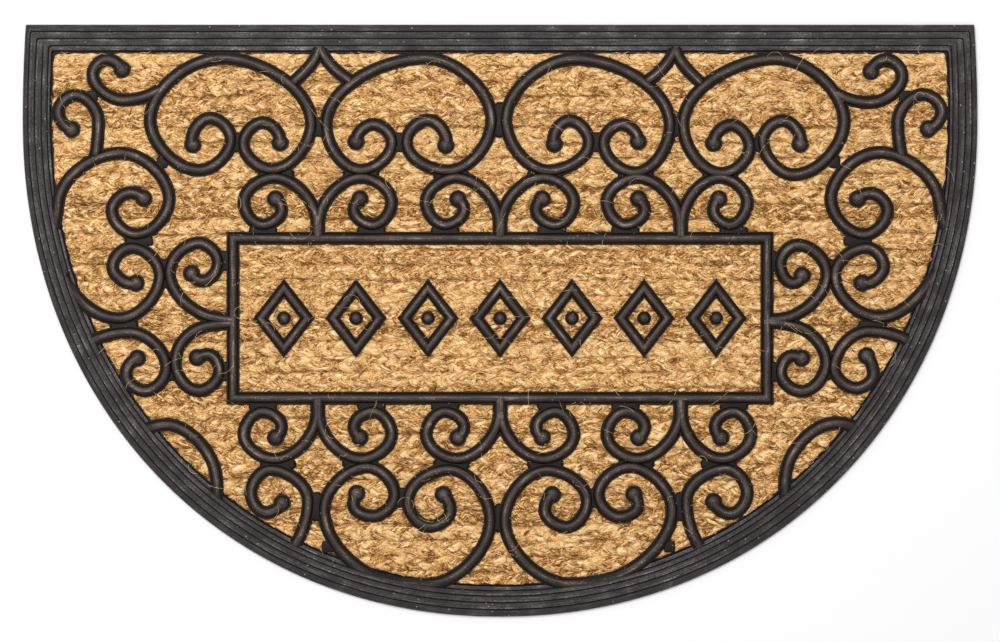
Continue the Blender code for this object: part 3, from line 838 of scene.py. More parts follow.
@dataclass
class RubberTray:
    """The backing and the stepped border, whose treads climb to the lip beside the coir.

    Each tread starts with a riser: a groove at its foot, a step, and a worn edge.
    """

    outline: Outline
    backing: float = 2.0
    rim_height: float = 2.6
    groove_width: float = 1.0
    groove_depth: float = 0.8
    corner: float = 1.2  # of the outline; the corners grow rounder inwards by corner_growth
    corner_growth: float = 0.06
    flash: tuple[int, int] = (-4, -3)  # the profile's rows along the crest of the flash
    risers: Sequence[tuple[Triple, float, float]] = (
        # inset of the riser, height before it, height after it
        ((5.9, 4.6, 5.9), 3.2, 4.2),
        ((11.5, 9.9, 11.5), 4.7, 5.6),
        ((14.2, 15.4, 16.6), 5.9, 6.7),
        ((17.2, 19.9, 20.9), 7.0, LIP_TOP),
    )
    foot_rows: int = 4  # the profile's rows below the first riser
    riser_rows: int = 7
    worn_riser: int = 2  # the riser whose groove fades out along the straight edge
    faded: float = 2.0  # how far from the riser's own inset its groove is gone, and whole
    whole: float = 4.0
    worn_shade: float = 0.7
    climb: float = 0.5  # how much of a millimetre up counts as a millimetre inwards

    def profile(self) -> list[tuple[Triple, float, float]]:
        """Draws the border's section.

        Returns:
            Rows of insets, height and shade, from the floor inwards.
        """
        # The shade column paints shade into the grooves and a highlight along each worn edge, the
        # lip and the flash.
        rows = [((0.0, 0.0, 0.0), 0.0, 0.5), ((0.0, 0.0, 0.0), self.rim_height - 0.7, 0.6)]
        rows += [((0.2,) * 3, self.rim_height - 0.2, 0.8), ((0.7,) * 3, self.rim_height, 0.6)]
        for insets, before, after in self.risers:
            steps = (
                # shift from the riser's insets, height, shade
                (-self.groove_width, before, 0.6),
                (-self.groove_width * 0.6, before - self.groove_depth * 0.7, 0.15),
                (-self.groove_width * 0.2, before - self.groove_depth, 0.05),
                (0.0, after - 0.45, 0.35),
                (0.25, after - 0.1, 0.8),
                (0.7, after, 0.9),
                (1.2, after + 0.02, 0.75),
            )
            for shift, height, shade in steps:
                rows.append((tuple(inset + shift for inset in insets), height, shade))
        for shift, height, shade in (
            # shift from the wall's insets, height, shade
            (-0.6, LIP_TOP, 0.85), (-0.3, LIP_TOP - 0.1, 0.9), (-0.1, LIP_TOP - 0.5, 0.4),
            (0.0, LIP_TOP - 1.2, 0.1), (0.3, 5.6, 0.0), (0.9, 5.6, 0.0), (1.3, 6.9, 0.5),
            (1.8, 7.0, 0.6), (2.3, 6.0, 0.1), (2.5, self.backing, 0.0),
        ):
            rows.append((tuple(inset + shift for inset in WALL), height, shade))
        return rows

    def wear(self, places: np.ndarray, shade: np.ndarray) -> None:
        """Fades the groove of the worn riser where it runs along the straight edge.

        Args:
            places: the border's corners, which are moved.
            shade: how open to the light they lie, which is changed too.
        """
        first = self.foot_rows + self.riser_rows * self.worn_riser
        last = first + self.riser_rows - 1
        rows = slice(first, last + 1)
        foot, crest = places[:, first, 2], places[:, last, 2]
        rise = np.linspace(0, 1, self.riser_rows)
        sloped = foot[:, None] + (crest - foot)[:, None] * rise
        depth = self.outline.top - places[:, rows, 1] - self.risers[self.worn_riser][0][0]
        share = np.clip((self.whole - depth) / (self.whole - self.faded), 0.0, 1.0)
        places[:, rows, 2] += (sloped - places[:, rows, 2]) * share
        shade[:, rows] += (self.worn_shade - shade[:, rows]) * share

    def uneven(self, along: np.ndarray) -> np.ndarray:
        """How much the flash that squeezed out beside the coir rises and falls."""
        waves = ((9.1, 0.5), (5.3, 0.4), (23.0, 0.5), (71.0, 0.4))  # length, size
        return sum(size * np.sin(2 * math.pi * along / length) for length, size in waves)

    def build(self) -> bpy.types.Object:
        """Makes the border's piece.

        Returns:
            The piece.
        """
        rows = self.profile()
        loops = np.stack([
            self.outline.ring(insets, self.corner + self.corner_growth * insets[0])
            for insets, _, _ in rows
        ], axis=1)
        loops = np.concatenate([loops, loops[:1]])
        along = travelled(loops[:, 0])
        inward = np.array([insets[1] + height * self.climb for insets, height, _ in rows])
        places = raised(loops, np.array([height for _, height, _ in rows]))
        for row in self.flash:
            places[:, row, 2] += self.uneven(along)
        run = crossed(along, inward)
        shade = np.tile([shade for _, _, shade in rows], (len(loops), 1))
        self.wear(places, shade)
        piece = lay_strips("moulded_border", [Strip(places, run, shade)], sharp=50.0)
        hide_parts("rubber_tray")
        return piece


NEARLY_STRAIGHT = math.radians(5)


def bezier(p0: Vector, d0: Vector, p3: Vector, d3: Vector, pace: float) -> list[Vector]:
    """Points along the smooth curve between two places of a bar, without the last one.

    Args:
        p0: where it starts.
        d0: the direction in which it starts.
        p3: where it ends.
        d3: the direction in which it ends.
        pace: millimetres from point to point.

    Returns:
        The points.
    """
    turn = d0.angle(d3)
    chord = (p3 - p0).length
    reach0 = reach3 = chord / 3
    if turn > NEARLY_STRAIGHT:
        # Where the two tangents meet, the handles are those of an elliptical arc.
        across = d0.x * d3.y - d0.y * d3.x
        to_corner = p3 - p0
        along0 = (to_corner.x * d3.y - to_corner.y * d3.x) / across
        along3 = (to_corner.x * d0.y - to_corner.y * d0.x) / -across
        share = 4 / 3 * math.tan(turn / 4) / math.tan(turn / 2)
        if along0 > 0 and along3 < 0:
            reach0, reach3 = share * along0, share * -along3
    p1, p2 = p0 + d0 * reach0, p3 - d3 * reach3
    length = chord * (1 + turn / 12)  # an arc is a little longer than its chord
    steps = max(2, math.ceil(length / pace))
    points = []
    for step in range(steps):
        t = step / steps
        s = 1 - t
        points.append(s**3 * p0 + 3 * s * s * t * p1 + 3 * s * t * t * p2 + t**3 * p3)
    return points


def way_of(rows: Sequence[Passing], index: int, neighbour: int) -> Vector:
    """The direction of a bar at one of its rows, given the index of the row next to it.

    Args:
        rows: the bar's rows.
        index: the row that is asked for.
        neighbour: the row that a round free end is reached from.

    Returns:
        The direction, one long.
    """
    heading, x, y = rows[index]
    if heading is ROUND:
        known, other_x, other_y = rows[neighbour]
        run = Vector((x - other_x, y - other_y)) * (1 if index > neighbour else -1)
        heading = 2 * math.degrees(math.atan2(run.y, run.x)) - known
    return Vector((math.cos(math.radians(heading)), math.sin(math.radians(heading))))


def centre_line(rows: Sequence[Passing], pace: float) -> np.ndarray:
    """The points along the middle of a bar, pace millimetres apart.

    Args:
        rows: the bar's rows of heading, x and y.
        pace: millimetres from point to point.

    Returns:
        The points.
    """
    places = [Vector((x, y)) for _, x, y in rows]
    points = []
    for index in range(len(rows) - 1):
        start_way = way_of(rows, index, index + 1)
        end_way = way_of(rows, index + 1, index)
        points += bezier(places[index], start_way, places[index + 1], end_way, pace)
    return np.array([*points, places[-1]])


def halves(rows: Sequence[BarRow]) -> tuple[list[Passing], list[Passing]]:
    """The points of a left-hand bar, and those of the bar that mirrors it on the right.

    Args:
        rows: a bar's rows in the table.

    Returns:
        Rows of heading, x and y for either bar.
    """
    left = [(heading, x, y) for heading, x, y, _, _ in rows]
    right = [
        (ROUND if heading is ROUND else (180 - heading) % 360, across - x, y + up)
        for heading, x, y, across, up in rows
    ]
    return left, right


def both_sides(points: np.ndarray, shift: Pair) -> tuple[np.ndarray, np.ndarray]:
    """Places of the left half, and their mirror images on the right, moved by the shift."""
    return points, points * (-1, 1) + shift


@dataclass
class BarWork:
    """The bars pressed onto the coir: a flange with a round rib along its middle."""

    outline: Outline
    pace: float = 3.0
    panel_half_width: float = 209.5
    panel_half_height: float = 62.7
    panel_y: float = 1.9
    stands: float = 0.1  # how far what lies on the lip stands above it
    flattened: float = 0.12  # share of its height that a bar keeps on the lip
    dive: float = 2.0  # how steeply the hidden end goes down into the border's rubber
    lowest: float = 1.0
    hidden_reach: float = 9.0
    scatter: float = 7.3  # sets the lines on one bar off against those on the next
    ball_round: float = 5.0  # from the middle of a ball to where its lines are measured
    ball_sides: int = 20
    web_sides: int = 24
    web_squareness: float = 6.0
    # Their shade columns paint a highlight on the crests and shade in the grooves and on the
    # flanges.
    half_profile: Sequence[Triple] = (
        # across from the middle, height, shade
        (0.0, 12.0, 1.0), (1.2, 11.85, 0.85), (2.3, 11.3, 0.5), (3.1, 10.4, 0.25),
        (3.6, 9.4, 0.1), (3.9, 8.9, 0.0), (4.2, 9.0, 0.15), (4.7, 8.95, 0.2),
        (5.1, 8.6, 0.05), (5.2, 7.0, 0.0),
    )
    ball_profile: Sequence[Triple] = (
        # out from the middle, height, shade
        (0.0, 12.2, 1.0), (1.7, 12.0, 0.95), (3.3, 11.4, 0.8), (4.6, 10.5, 0.5),
        (5.5, 9.5, 0.2), (5.8, 9.15, 0.0), (6.1, 9.2, 0.2), (6.5, 9.3, 0.55),
        (6.9, 8.9, 0.2), (7.0, 7.2, 0.0),
    )
    web_profile: Sequence[Triple] = (
        # share of the web's reach, height, shade
        (0.0, 8.9, 0.2), (0.8, 8.9, 0.15), (0.95, 8.7, 0.05), (1.0, 7.0, 0.0),
    )
    lines: list[np.ndarray] = field(default_factory=list)
    balls: list[np.ndarray] = field(default_factory=list)
    webs: list[tuple[np.ndarray, Pair]] = field(default_factory=list)

    def lay_out(self) -> None:
        """Draws the middle lines, balls and webs on the plan."""
        for ends, rows in BARS.values():
            for half in halves(rows):
                line = centre_line(half, self.pace)
                self.lines.append(line)
                if ends is not BallEnds.NONE:
                    self.balls.append(line[0])
                if ends is BallEnds.BOTH:
                    self.balls.append(line[-1])
        shape = centre_line(STEM_SCROLL, self.pace)
        for (number, stem), side, way in product(enumerate(STEMS), (1, -1), (1, -1)):
            # The scroll is drawn on the left of its stem, so side 1 leaves it there.
            reach = side * NARROW_SCROLLS.get((number, -side, way), 1.0)
            line = shape * (reach, way) + (stem, self.panel_y)
            self.lines.append(line)
            self.balls.append(line[0])
        for x, y, web in LEFT_WEBS:
            for place in both_sides(np.array((x, y)), WEB_SHIFT):
                self.webs.append((place, web))
        for x, y, web in MIDDLE_WEBS:
            self.webs.append((np.array((x, y)), web))

    def section(self, scale: float = 1.0) -> np.ndarray:
        """The bar's closed section, as rows of across, height and shade.

        Args:
            scale: the bar's width, as a share of a scroll's.

        Returns:
            The rows, of which the last repeats the first.
        """
        half = np.array(self.half_profile) * (scale, 1, 1)
        whole = np.concatenate([half[::-1] * (-1, 1, 1), half[1:]])
        return np.concatenate([whole, whole[:1]])

    def swept(self, line: np.ndarray, normals: np.ndarray, section: np.ndarray) -> Strip:
        """Draws a section along a line.

        Args:
            line: the points along the middle.
            normals: for each of them, the direction and the reach of one unit across.
            section: rows of across, height and shade.

        Returns:
            The strip.
        """
        places = raised(line[:, None] + normals[:, None] * section[None, :, :1], section[:, 1])
        steps = np.diff(section[:, :2], axis=0, prepend=section[:1, :2])
        around = np.cumsum(np.hypot(*steps.T))
        start = float(np.abs(line[0]).sum() * self.scatter)
        run = crossed(start + travelled(line), around)
        shade = np.broadcast_to(section[:, 2], places.shape[:2])
        return Strip(self.sunk_at_lip(places), run, shade)

    def sunk_at_lip(self, places: np.ndarray) -> np.ndarray:
        """Lets a bar sink into the lip that it runs onto, and end inside the border.

        Args:
            places: the bar's corners.

        Returns:
            The corners at their new heights.
        """
        inside = self.outline.inset(places, WALL, WALL_CORNER)
        heights = places[..., 2]
        on_lip = LIP_TOP + self.stands + self.flattened * (heights - LIP_TOP)
        share = np.clip(1 + inside / LIP_WIDTH, 0.0, 1.0) ** 2
        sunk = on_lip + (heights - on_lip) * share
        past = inside + LIP_WIDTH
        sunk = np.where(past < 0, sunk + self.dive * past, sunk)
        sunk = np.maximum(sunk, self.lowest)
        return np.dstack([places[..., :2], np.where(inside < 0, sunk, heights)])

    def bar(self, line: np.ndarray) -> Strip:
        """A bar along an open line, which ends inside the border where it runs that far.

        Args:
            line: the points along its middle.

        Returns:
            The bar's strip.
        """
        line = line[self.outline.inset(line, WALL, WALL_CORNER) > -self.hidden_reach]
        ways = unit(np.gradient(line, axis=0))
        return self.swept(line, np.column_stack([-ways[:, 1], ways[:, 0]]), self.section())

    def closed_bars(self, corners: np.ndarray, scale: float) -> list[Strip]:
        """Straight bars round a polygon, mitred where they meet.

        Args:
            corners: the polygon's corners, anticlockwise.
            scale: the bars' width, as a share of a scroll's.

        Returns:
            One strip a side.
        """
        ways = unit(np.roll(corners, -1, axis=0) - corners)
        normals = np.column_stack([-ways[:, 1], ways[:, 0]])
        before = np.roll(normals, 1, axis=0)
        mitres = before + normals
        mitres /= np.sum(mitres * normals, axis=1, keepdims=True)
        strips = []
        for index, corner in enumerate(corners):
            after = (index + 1) % len(corners)
            length = float(np.linalg.norm(corners[after] - corner))
            shares = np.linspace(0, 1, max(3, round(length / self.pace)))[:, None]
            line = corner + (corners[after] - corner) * shares
            self.lines.append(line)
            across = np.broadcast_to(normals[index], line.shape).copy()
            across[0], across[-1] = mitres[index], mitres[after]
            strips.append(self.swept(line, across, self.section(scale)))
        return strips

    def lathed(
        self,
        centre: np.ndarray,
        profile: Sequence[Triple],
        sides: int,
        reach: Pair = (1.0, 1.0),
        squareness: float = 2.0,
    ) -> Strip:
        """A form turned from a profile about a place of the plan.

        Args:
            centre: the place.
            profile: rows of how far out, height and shade.
            sides: facets round it.
            reach: by how much the form is stretched along x and along y.
            squareness: 2 for a round form; the plan of a higher one is nearer a rectangle.

        Returns:
            The form's strip.
        """
        rows = np.array(profile)
        turns = np.linspace(0, 2 * math.pi, sides + 1)
        spokes = np.column_stack([np.cos(turns), np.sin(turns)])
        spokes /= (np.abs(spokes) ** squareness).sum(axis=1, keepdims=True) ** (1 / squareness)
        flat = centre + spokes[:, None] * reach * rows[None, :, :1]
        run = crossed(turns * self.ball_round, rows[:, 0])
        shade = np.broadcast_to(rows[:, 2], flat.shape[:2])
        return Strip(raised(flat, rows[:, 1]), run, shade)

    def build(self) -> list[bpy.types.Object]:
        """Makes the bars' pieces.

        Returns:
            The scrolls, the panel's frame, the balls, the webs and the two arcs.
        """
        frame = np.array([
            (side * self.panel_half_width, self.panel_y + way * self.panel_half_height)
            for side, way in ((-1, -1), (1, -1), (1, 1), (-1, 1))
        ])
        scrolls = lay_strips("scroll_bars", [self.bar(line) for line in self.lines])
        panel = lay_strips("panel_frame", self.closed_bars(frame, 1.0), sharp=40.0)
        balls = lay_strips("scroll_balls", [
            self.lathed(ball, self.ball_profile, self.ball_sides) for ball in self.balls
        ])
        webs = lay_strips("webs", [
            self.lathed(at, self.web_profile, self.web_sides, reach, self.web_squareness)
            for at, reach in self.webs
        ])
        for piece in (scrolls, panel, balls, webs):
            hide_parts("scrollwork")
        arcs = []
        lines = both_sides(centre_line(LEFT_ARC, self.pace), ARC_SHIFT)
        for side, line in zip(("left", "right"), lines):
            arc = lay_strips(f"lip_arc_{side}", [self.bar(line)])
            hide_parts(f"arc_{side}")
            arcs.append(arc)
            self.lines.append(line)
        return [scrolls, panel, balls, webs, *arcs]


@dataclass
class LozengeRow:
    """The row of lozenges in the panel, each with a stud standing in its middle."""

    bars: BarWork
    count: int = 7
    pitch: float = 56.5
    half_width: float = 18.3
    half_height: float = 23.6
    bar_scale: float = 0.9
    stud_scale: float = 0.8
    stud_sides: int = 24

    def middles(self) -> np.ndarray:
        """The middles of the lozenges."""
        places = (np.arange(self.count) - (self.count - 1) / 2) * self.pitch
        return np.column_stack([places, np.full(self.count, self.bars.panel_y)])

    def tips(self, middle: np.ndarray) -> np.ndarray:
        """The four tips of a lozenge, anticlockwise."""
        across, up = self.half_width, self.half_height
        return middle + np.array([(-across, 0), (0, -up), (across, 0), (0, up)])

    def build(self) -> list[bpy.types.Object]:
        """Makes the lozenges and their studs.

        Returns:
            The pieces, lozenge by lozenge.
        """
        pieces = []
        for index, middle in enumerate(self.middles(), start=1):
            strips = self.bars.closed_bars(self.tips(middle), self.bar_scale)
            lozenge = lay_strips(f"lozenge_bars_{index}", strips, sharp=40.0)
            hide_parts(f"lozenge_{index}")
            profile, reach = self.bars.ball_profile, (self.stud_scale,) * 2
            dome = self.bars.lathed(middle, profile, self.stud_sides, reach)
            stud = lay_strips(f"stud_{index}", [dome])
            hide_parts(f"lozenge_stud_{index}")
            pieces += [lozenge, stud]
        return pieces


class Waves:
    """A slow, irregular swing about zero, made of a few sine waves."""

    def __init__(self, draw: random.Random, lengths: Sequence[float], size: float) -> None:
        """Draws the phase of each wave.

        Args:
            draw: the source of random numbers.
            lengths: the waves' lengths.
            size: how far the swing reaches.
        """
        self.waves = [(length, draw.uniform(0, 2 * math.pi)) for length in lengths]
        self.size = size / len(lengths)

    def at(self, x: np.ndarray) -> np.ndarray:
        """The swing at places along the line."""
        turns = [2 * math.pi * x / length + phase for length, phase in self.waves]
        return self.size * sum(np.sin(turn) for turn in turns)


@dataclass(frozen=True)
class Fibres:
    """One kind of loose fibre. A pair is the range that single fibres are drawn from."""

    count: int  # how many there are at most
    tries: int  # how many are thrown for each that may stay
    stations: int  # points along a fibre
    lengths: Pair
    bend: float  # radians that they typically turn from end to end
    spread: float  # radians that they typically point off their strand's way
    radii: Pair
    lifts: Pair  # how high the middle rises
    tones: Pair  # from the darkest, 0, to the palest, 1
    stray: bool = False  # whether they are the ones that stray over the rubber


FUZZ = Fibres(
    5000, tries=2, stations=3, lengths=(3.0, 11.0), bend=0.6, spread=0.5, radii=(0.2, 0.42),
    lifts=(0.1, 0.8), tones=(0.0, 1.0),
)
STRAYS = Fibres(
    230, tries=30, stations=14, lengths=(7.0, 30.0), bend=2.2, spread=0.9, radii=(0.09, 0.16),
    lifts=(0.3, 1.0), tones=(0.65, 1.0), stray=True,
)


@dataclass
class CoirField:
    """Plaits of three coir strands laid side by side, and the loose fibres on them."""

    outline: Outline
    bars: BarWork
    plaits: int = 35
    pieces: int = 5
    edge: Triple = (2.6, 2.3, 1.8)  # from the border's wall to the cut ends
    ragged: float = 0.7
    corner: float = 2.5
    base_top: float = 4.9
    base_shade: float = 0.4
    floor: float = 2.3
    middle: float = 5.3
    period: float = 34.5
    swing: float = 3.45
    lift: float = 1.0
    uneven: Triple = (0.22, 0.25, 0.14)  # the swing, the lift, the girth
    strand_waves: tuple[Triple, float] = ((83.0, 47.0, 29.0), 1.0)  # lengths, size
    drift_waves: tuple[Triple, float] = ((310.0, 130.0, 60.0), 1.7)
    work_waves: tuple[Triple, float] = ((240.0, 110.0, 70.0), 2.6)
    fewest_stations: int = 3
    past_edge: float = 2.0  # how far a strand is laid past the edge before it is cut
    half_width: float = 3.7
    half_thickness: float = 2.15
    round_strand: float = 16.0
    lumps: float = 0.3
    lump_limit: float = 0.7
    station: float = 2.9
    sides: int = 8
    shade_from: float = 3.0  # the height at which the coir is darkest, and how far up it isn't
    shade_over: float = 3.0
    bar_edge: float = 4.2  # from a bar's middle to where the coir starts to rise beside it
    rises_over: float = 4.5
    pressed: float = 0.86  # share of their height that plaits keep under a bar
    puffed: float = 1.06
    fibre_pieces: int = 3
    fibre_gap: float = 0.1  # between a fibre's middle line and its strand
    fibre_taper: float = 0.3  # a fibre's girth at its ends, as a share
    stray_reach: float = 9.0  # how far onto the border stray fibres lie
    near_bar: float = 4.0  # what is nearer to a bar's middle lies on it
    clear_of_bar: float = 4.6
    clear_of_edge: float = 0.8
    over_bar: Sequence[Pair] = (
        # from the bar's middle, height that clears it
        (0.0, 12.1), (2.5, 11.3), (3.4, 9.8), (5.0, 9.5), (6.5, 0.0),
    )
    over_lip: float = 0.15
    lip_from: float = 0.5  # how far inside the border's wall a fibre must be lifted over it
    strands: list[Strip] = field(default_factory=list)
    draw: random.Random = field(init=False)
    nearest: KDTree = field(init=False)

    def __post_init__(self) -> None:
        """Gathers the bars' middle lines, so that the coir can tell how near one is."""
        self.draw = random.Random(SEED)
        points = np.concatenate(self.bars.lines)
        self.nearest = KDTree(len(points))
        for index, (x, y) in enumerate(points):
            self.nearest.insert((x, y, 0.0), index)
        self.nearest.balance()

    def edges(self) -> tuple[float, ...]:
        """The insets of the coir's cut edge."""
        return tuple(wall + edge for wall, edge in zip(WALL, self.edge))

    def to_bar(self, places: np.ndarray) -> np.ndarray:
        """How far places of the plan are from the middle of a bar.

        Args:
            places: any array of points whose last axis starts with x and y.

        Returns:
            One distance a place.
        """
        flat = places.reshape(-1, places.shape[-1])
        found = [self.nearest.find((x, y, 0.0))[2] for x, y in flat[:, :2].tolist()]
        return np.array(found).reshape(places.shape[:-1])

    def plait_rows(self) -> list[float]:
        """The middles of the plaits, from the front up."""
        bottom, top = self.outline.top - self.outline.depth + WALL[2], self.outline.top - WALL[0]
        return [bottom + (top - bottom) * (row + 0.5) / self.plaits for row in range(self.plaits)]

    def strand(
        self, middle: float, part: int, start: float, drift: Waves, work: Waves
    ) -> Strip | None:
        """One strand of a plait, which swings from side to side over and under the others.

        Args:
            middle: the y of the plait's middle.
            part: which of the three strands this is.
            start: the phase of the plait.
            drift: how the plait wanders off its line.
            work: how evenly it was plaited.

        Returns:
            The strand's strip, cut to the border and pressed where a bar crosses, or nothing
            where the mat is too narrow for it.
        """
        uneven_swing, uneven_lift, uneven_girth = self.uneven
        reach = self.outline.width / 2
        x = np.arange(-reach, reach, self.station)
        turn = 2 * math.pi * (x / self.period + part / 3) + start + work.at(x)
        loose = Waves(self.draw, *self.strand_waves)
        # Read at other places, the same waves give swing and girth a pattern of their own.
        swing = self.swing * (1 + uneven_swing * loose.at(x + 11))
        y = middle + drift.at(x) + swing * np.sin(turn)
        z = self.middle + self.lift * (1 + uneven_lift * loose.at(x)) * np.sin(2 * turn)
        middles = np.column_stack([x, y, z])
        depths = self.outline.inset(middles, WALL, self.corner)
        inside = np.nonzero(depths > -self.past_edge)[0]
        if len(inside) < self.fewest_stations:
            return None
        middles = middles[inside[0]:inside[-1] + 1]
        sides, ups = square_to(unit(np.gradient(middles, axis=0)))
        fat = 1 + uneven_girth * loose.at(middles[:, 0] * 1.7)
        angles = np.linspace(0, 2 * math.pi, self.sides + 1)
        out = (self.half_width * fat)[:, None, None] * np.cos(angles)[:, None]
        up = (self.half_thickness * fat)[:, None, None] * np.sin(angles)[:, None]
        places = middles[:, None] + sides[:, None] * out + ups[:, None] * up
        lump = np.array([self.draw.gauss(0, self.lumps) for _ in range(len(x) * self.sides)])
        lump = lump.reshape(len(x), self.sides)[:len(middles)]
        lump = np.clip(lump, -self.lump_limit, self.lump_limit)
        lump = np.concatenate([lump, lump[:, :1]], axis=1)[..., None]
        places += (places - middles[:, None]) / self.half_width * lump
        places = self.cut(places)
        places[..., 2] = self.settled(places)
        start_u, start_v = self.draw.uniform(0, 900), self.draw.uniform(0, 90)
        around = angles / (2 * math.pi) * self.round_strand
        run = crossed(start_u + travelled(middles), start_v + around)
        shade = np.clip((places[..., 2] - self.shade_from) / self.shade_over, 0.0, 1.0)
        return Strip(places, run, shade, self.draw.random())

    def cut(self, places: np.ndarray) -> np.ndarray:
        """Brings what lies outside the coir's edge back to it.

        Args:
            places: a strand's corners.

        Returns:
            The corners, none of which lies outside the ragged edge.
        """
        insets = self.edges()
        x, y = places[..., 0], places[..., 1]
        # Waves a few millimetres long that bend one another stand for the cut yarn's ends.
        frayed = np.sin(x / 1.9 + 2 * np.sin(y / 4.3)) + np.sin(y / 2.3 + 2 * np.sin(x / 5.9))
        clean = self.outline.inset(places, insets, self.corner)
        inside = clean - self.ragged / 2 * frayed
        step = 0.05  # how far ahead the slope is read that leads back to the edge
        moved = places.copy()
        for axis in (0, 1):
            shift = np.zeros(3)
            shift[axis] = step
            ahead = self.outline.inset(places + shift, insets, self.corner)
            slope = (ahead - clean) / step
            moved[..., axis] += np.where(inside < 0, -inside * slope, 0.0)
        return moved

    def settled(self, places: np.ndarray) -> np.ndarray:
        """The heights of the coir after the bars were pressed on it.

        Args:
            places: a strand's corners.

        Returns:
            One height a corner.
        """
        open_share = np.clip((self.to_bar(places) - self.bar_edge) / self.rises_over, 0.0, 1.0)
        share = self.pressed + (self.puffed - self.pressed) * open_share
        return self.floor + (places[..., 2] - self.floor) * share

    def build_plaits(self) -> list[bpy.types.Object]:
        """Makes the plaits, several to a piece.

        Returns:
            The pieces, from the front up.
        """
        plaits = []
        for middle in self.plait_rows():
            start = self.draw.uniform(0, 2 * math.pi)
            drift = Waves(self.draw, *self.drift_waves)
            work = Waves(self.draw, *self.work_waves)
            laid = [self.strand(middle, part, start, drift, work) for part in range(3)]
            plaits.append([strip for strip in laid if strip is not None])
        self.strands = [strip for plait in plaits for strip in plait]
        pieces = []
        size = math.ceil(len(plaits) / self.pieces)
        for number in range(self.pieces):
            group = [strip for plait in plaits[number * size:][:size] for strip in plait]
            pieces.append(lay_strips(f"coir_plaits_{number + 1}", group))
        return pieces

    def build_base(self) -> bpy.types.Object:
        """Makes the thin mat of pressed coir under the plaits.

        Returns:
            Its piece.
        """
        loop = self.outline.ring(self.edges(), self.corner)
        loop = np.concatenate([loop, loop[:1]])
        plan = np.repeat(loop[:, None], 2, axis=1)
        places = raised(plan, np.array([self.floor, self.base_top]))
        shade = np.full(plan.shape[:2], self.base_shade)
        base = lay_strips("coir_base", [Strip(places, plan, shade)], sharp=60.0)
        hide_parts("coir_field")
        return base

    def roots(self) -> tuple[np.ndarray, np.ndarray]:
        """Finds where fibres spring from the upper sides of the strands.

        Returns:
            The places, and which way the strands run there.
        """
        places, ways = [], []
        for strand in self.strands:
            inner = np.arange(1, len(strand.places) - 1)
            top = np.argmax(strand.places[1:-1, :self.sides, 2], axis=1)
            for beside in (-1, 0, 1):
                column = (top + beside) % self.sides
                places.append(strand.places[inner, column])
                ways.append(strand.places[inner + 1, column] - strand.places[inner - 1, column])
        return np.concatenate(places), np.concatenate(ways)

    def spring(self, fibres: Fibres, chance: np.random.Generator) -> list[Strip]:
        """Lets fibres spring from the strands and lie over their neighbours.

        Args:
            fibres: the kind of fibre.
            chance: the source of random numbers.

        Returns:
            One strip a fibre. Those that would cross a bar are left out, or, among the strays,
            those that wouldn't.
        """
        roots, strand_ways = self.roots()
        tries = fibres.count * fibres.tries
        picked = chance.integers(len(roots), size=tries)
        length, turn = chance.uniform(*fibres.lengths, tries), chance.normal(0, fibres.bend, tries)
        radius, lift = chance.uniform(*fibres.radii, tries), chance.uniform(*fibres.lifts, tries)
        heading = np.arctan2(strand_ways[picked, 1], strand_ways[picked, 0]) - turn / 2
        heading += chance.normal(0, fibres.spread, tries) + math.pi * chance.integers(2, size=tries)
        share = np.linspace(0, 1, fibres.stations)
        step = length / (fibres.stations - 1)
        ways = heading[:, None] + turn[:, None] * share[:-1]
        line = np.zeros((tries, fibres.stations, 3))
        line[:, 1:, 0] = np.cumsum(step[:, None] * np.cos(ways), axis=1)
        line[:, 1:, 1] = np.cumsum(step[:, None] * np.sin(ways), axis=1)
        line += roots[picked][:, None]
        line[..., 2] += self.fibre_gap + lift[:, None] * 4 * share * (1 - share)

        inside, near = self.outline.inset(line, WALL, self.corner), self.to_bar(line)
        outermost, nearest = inside.min(axis=1), near.min(axis=1)
        if fibres.stray:
            kept = (outermost > -self.stray_reach) & ((nearest < self.near_bar) | (outermost < 0))
            over = np.interp(near, *zip(*self.over_bar))
            lip = np.where(inside < self.lip_from, LIP_TOP + self.over_lip, 0.0)
            line[..., 2] = np.maximum(line[..., 2], np.maximum(over, lip) + radius[:, None])
        else:
            kept = (nearest > self.clear_of_bar) & (outermost > self.clear_of_edge)
        chosen = np.nonzero(kept)[0][:fibres.count]
        return self.tubes(line[chosen], radius[chosen], chance.uniform(*fibres.tones, len(chosen)))

    def tubes(self, lines: np.ndarray, radii: np.ndarray, tones: np.ndarray) -> list[Strip]:
        """Gives fibres their thickness, as three-sided tubes that taper at both ends.

        Args:
            lines: the points along each fibre's middle.
            radii: half of each one's thickness.
            tones: each one's own colour, from 0 to 1.

        Returns:
            One strip a fibre.
        """
        sides, ups = square_to(unit(np.gradient(lines, axis=1)))
        angles = np.linspace(0, 2 * math.pi, 4) + math.pi / 2
        slim = np.ones(lines.shape[1])
        slim[[0, -1]] = self.fibre_taper
        across, up = np.cos(angles)[:, None], np.sin(angles)[:, None]
        ring = across * sides[:, :, None] + up * ups[:, :, None]
        places = lines[:, :, None] + ring * (radii[:, None] * slim)[..., None, None]
        run = crossed(np.arange(len(slim)), angles)
        lit = np.ones(run.shape[:2])
        return [Strip(place, run, lit, tone) for place, tone in zip(places, tones)]

    def build_fibres(self) -> list[bpy.types.Object]:
        """Makes the loose fibres, and those that stray over the rubber.

        Returns:
            The pieces, the stray fibres last.
        """
        chance = np.random.default_rng(SEED)
        pieces = [
            lay_strips(f"loose_fibres_{number + 1}", self.spring(FUZZ, chance))
            for number in range(self.fibre_pieces)
        ]
        return [*pieces, lay_strips("stray_fibres", self.spring(STRAYS, chance))]


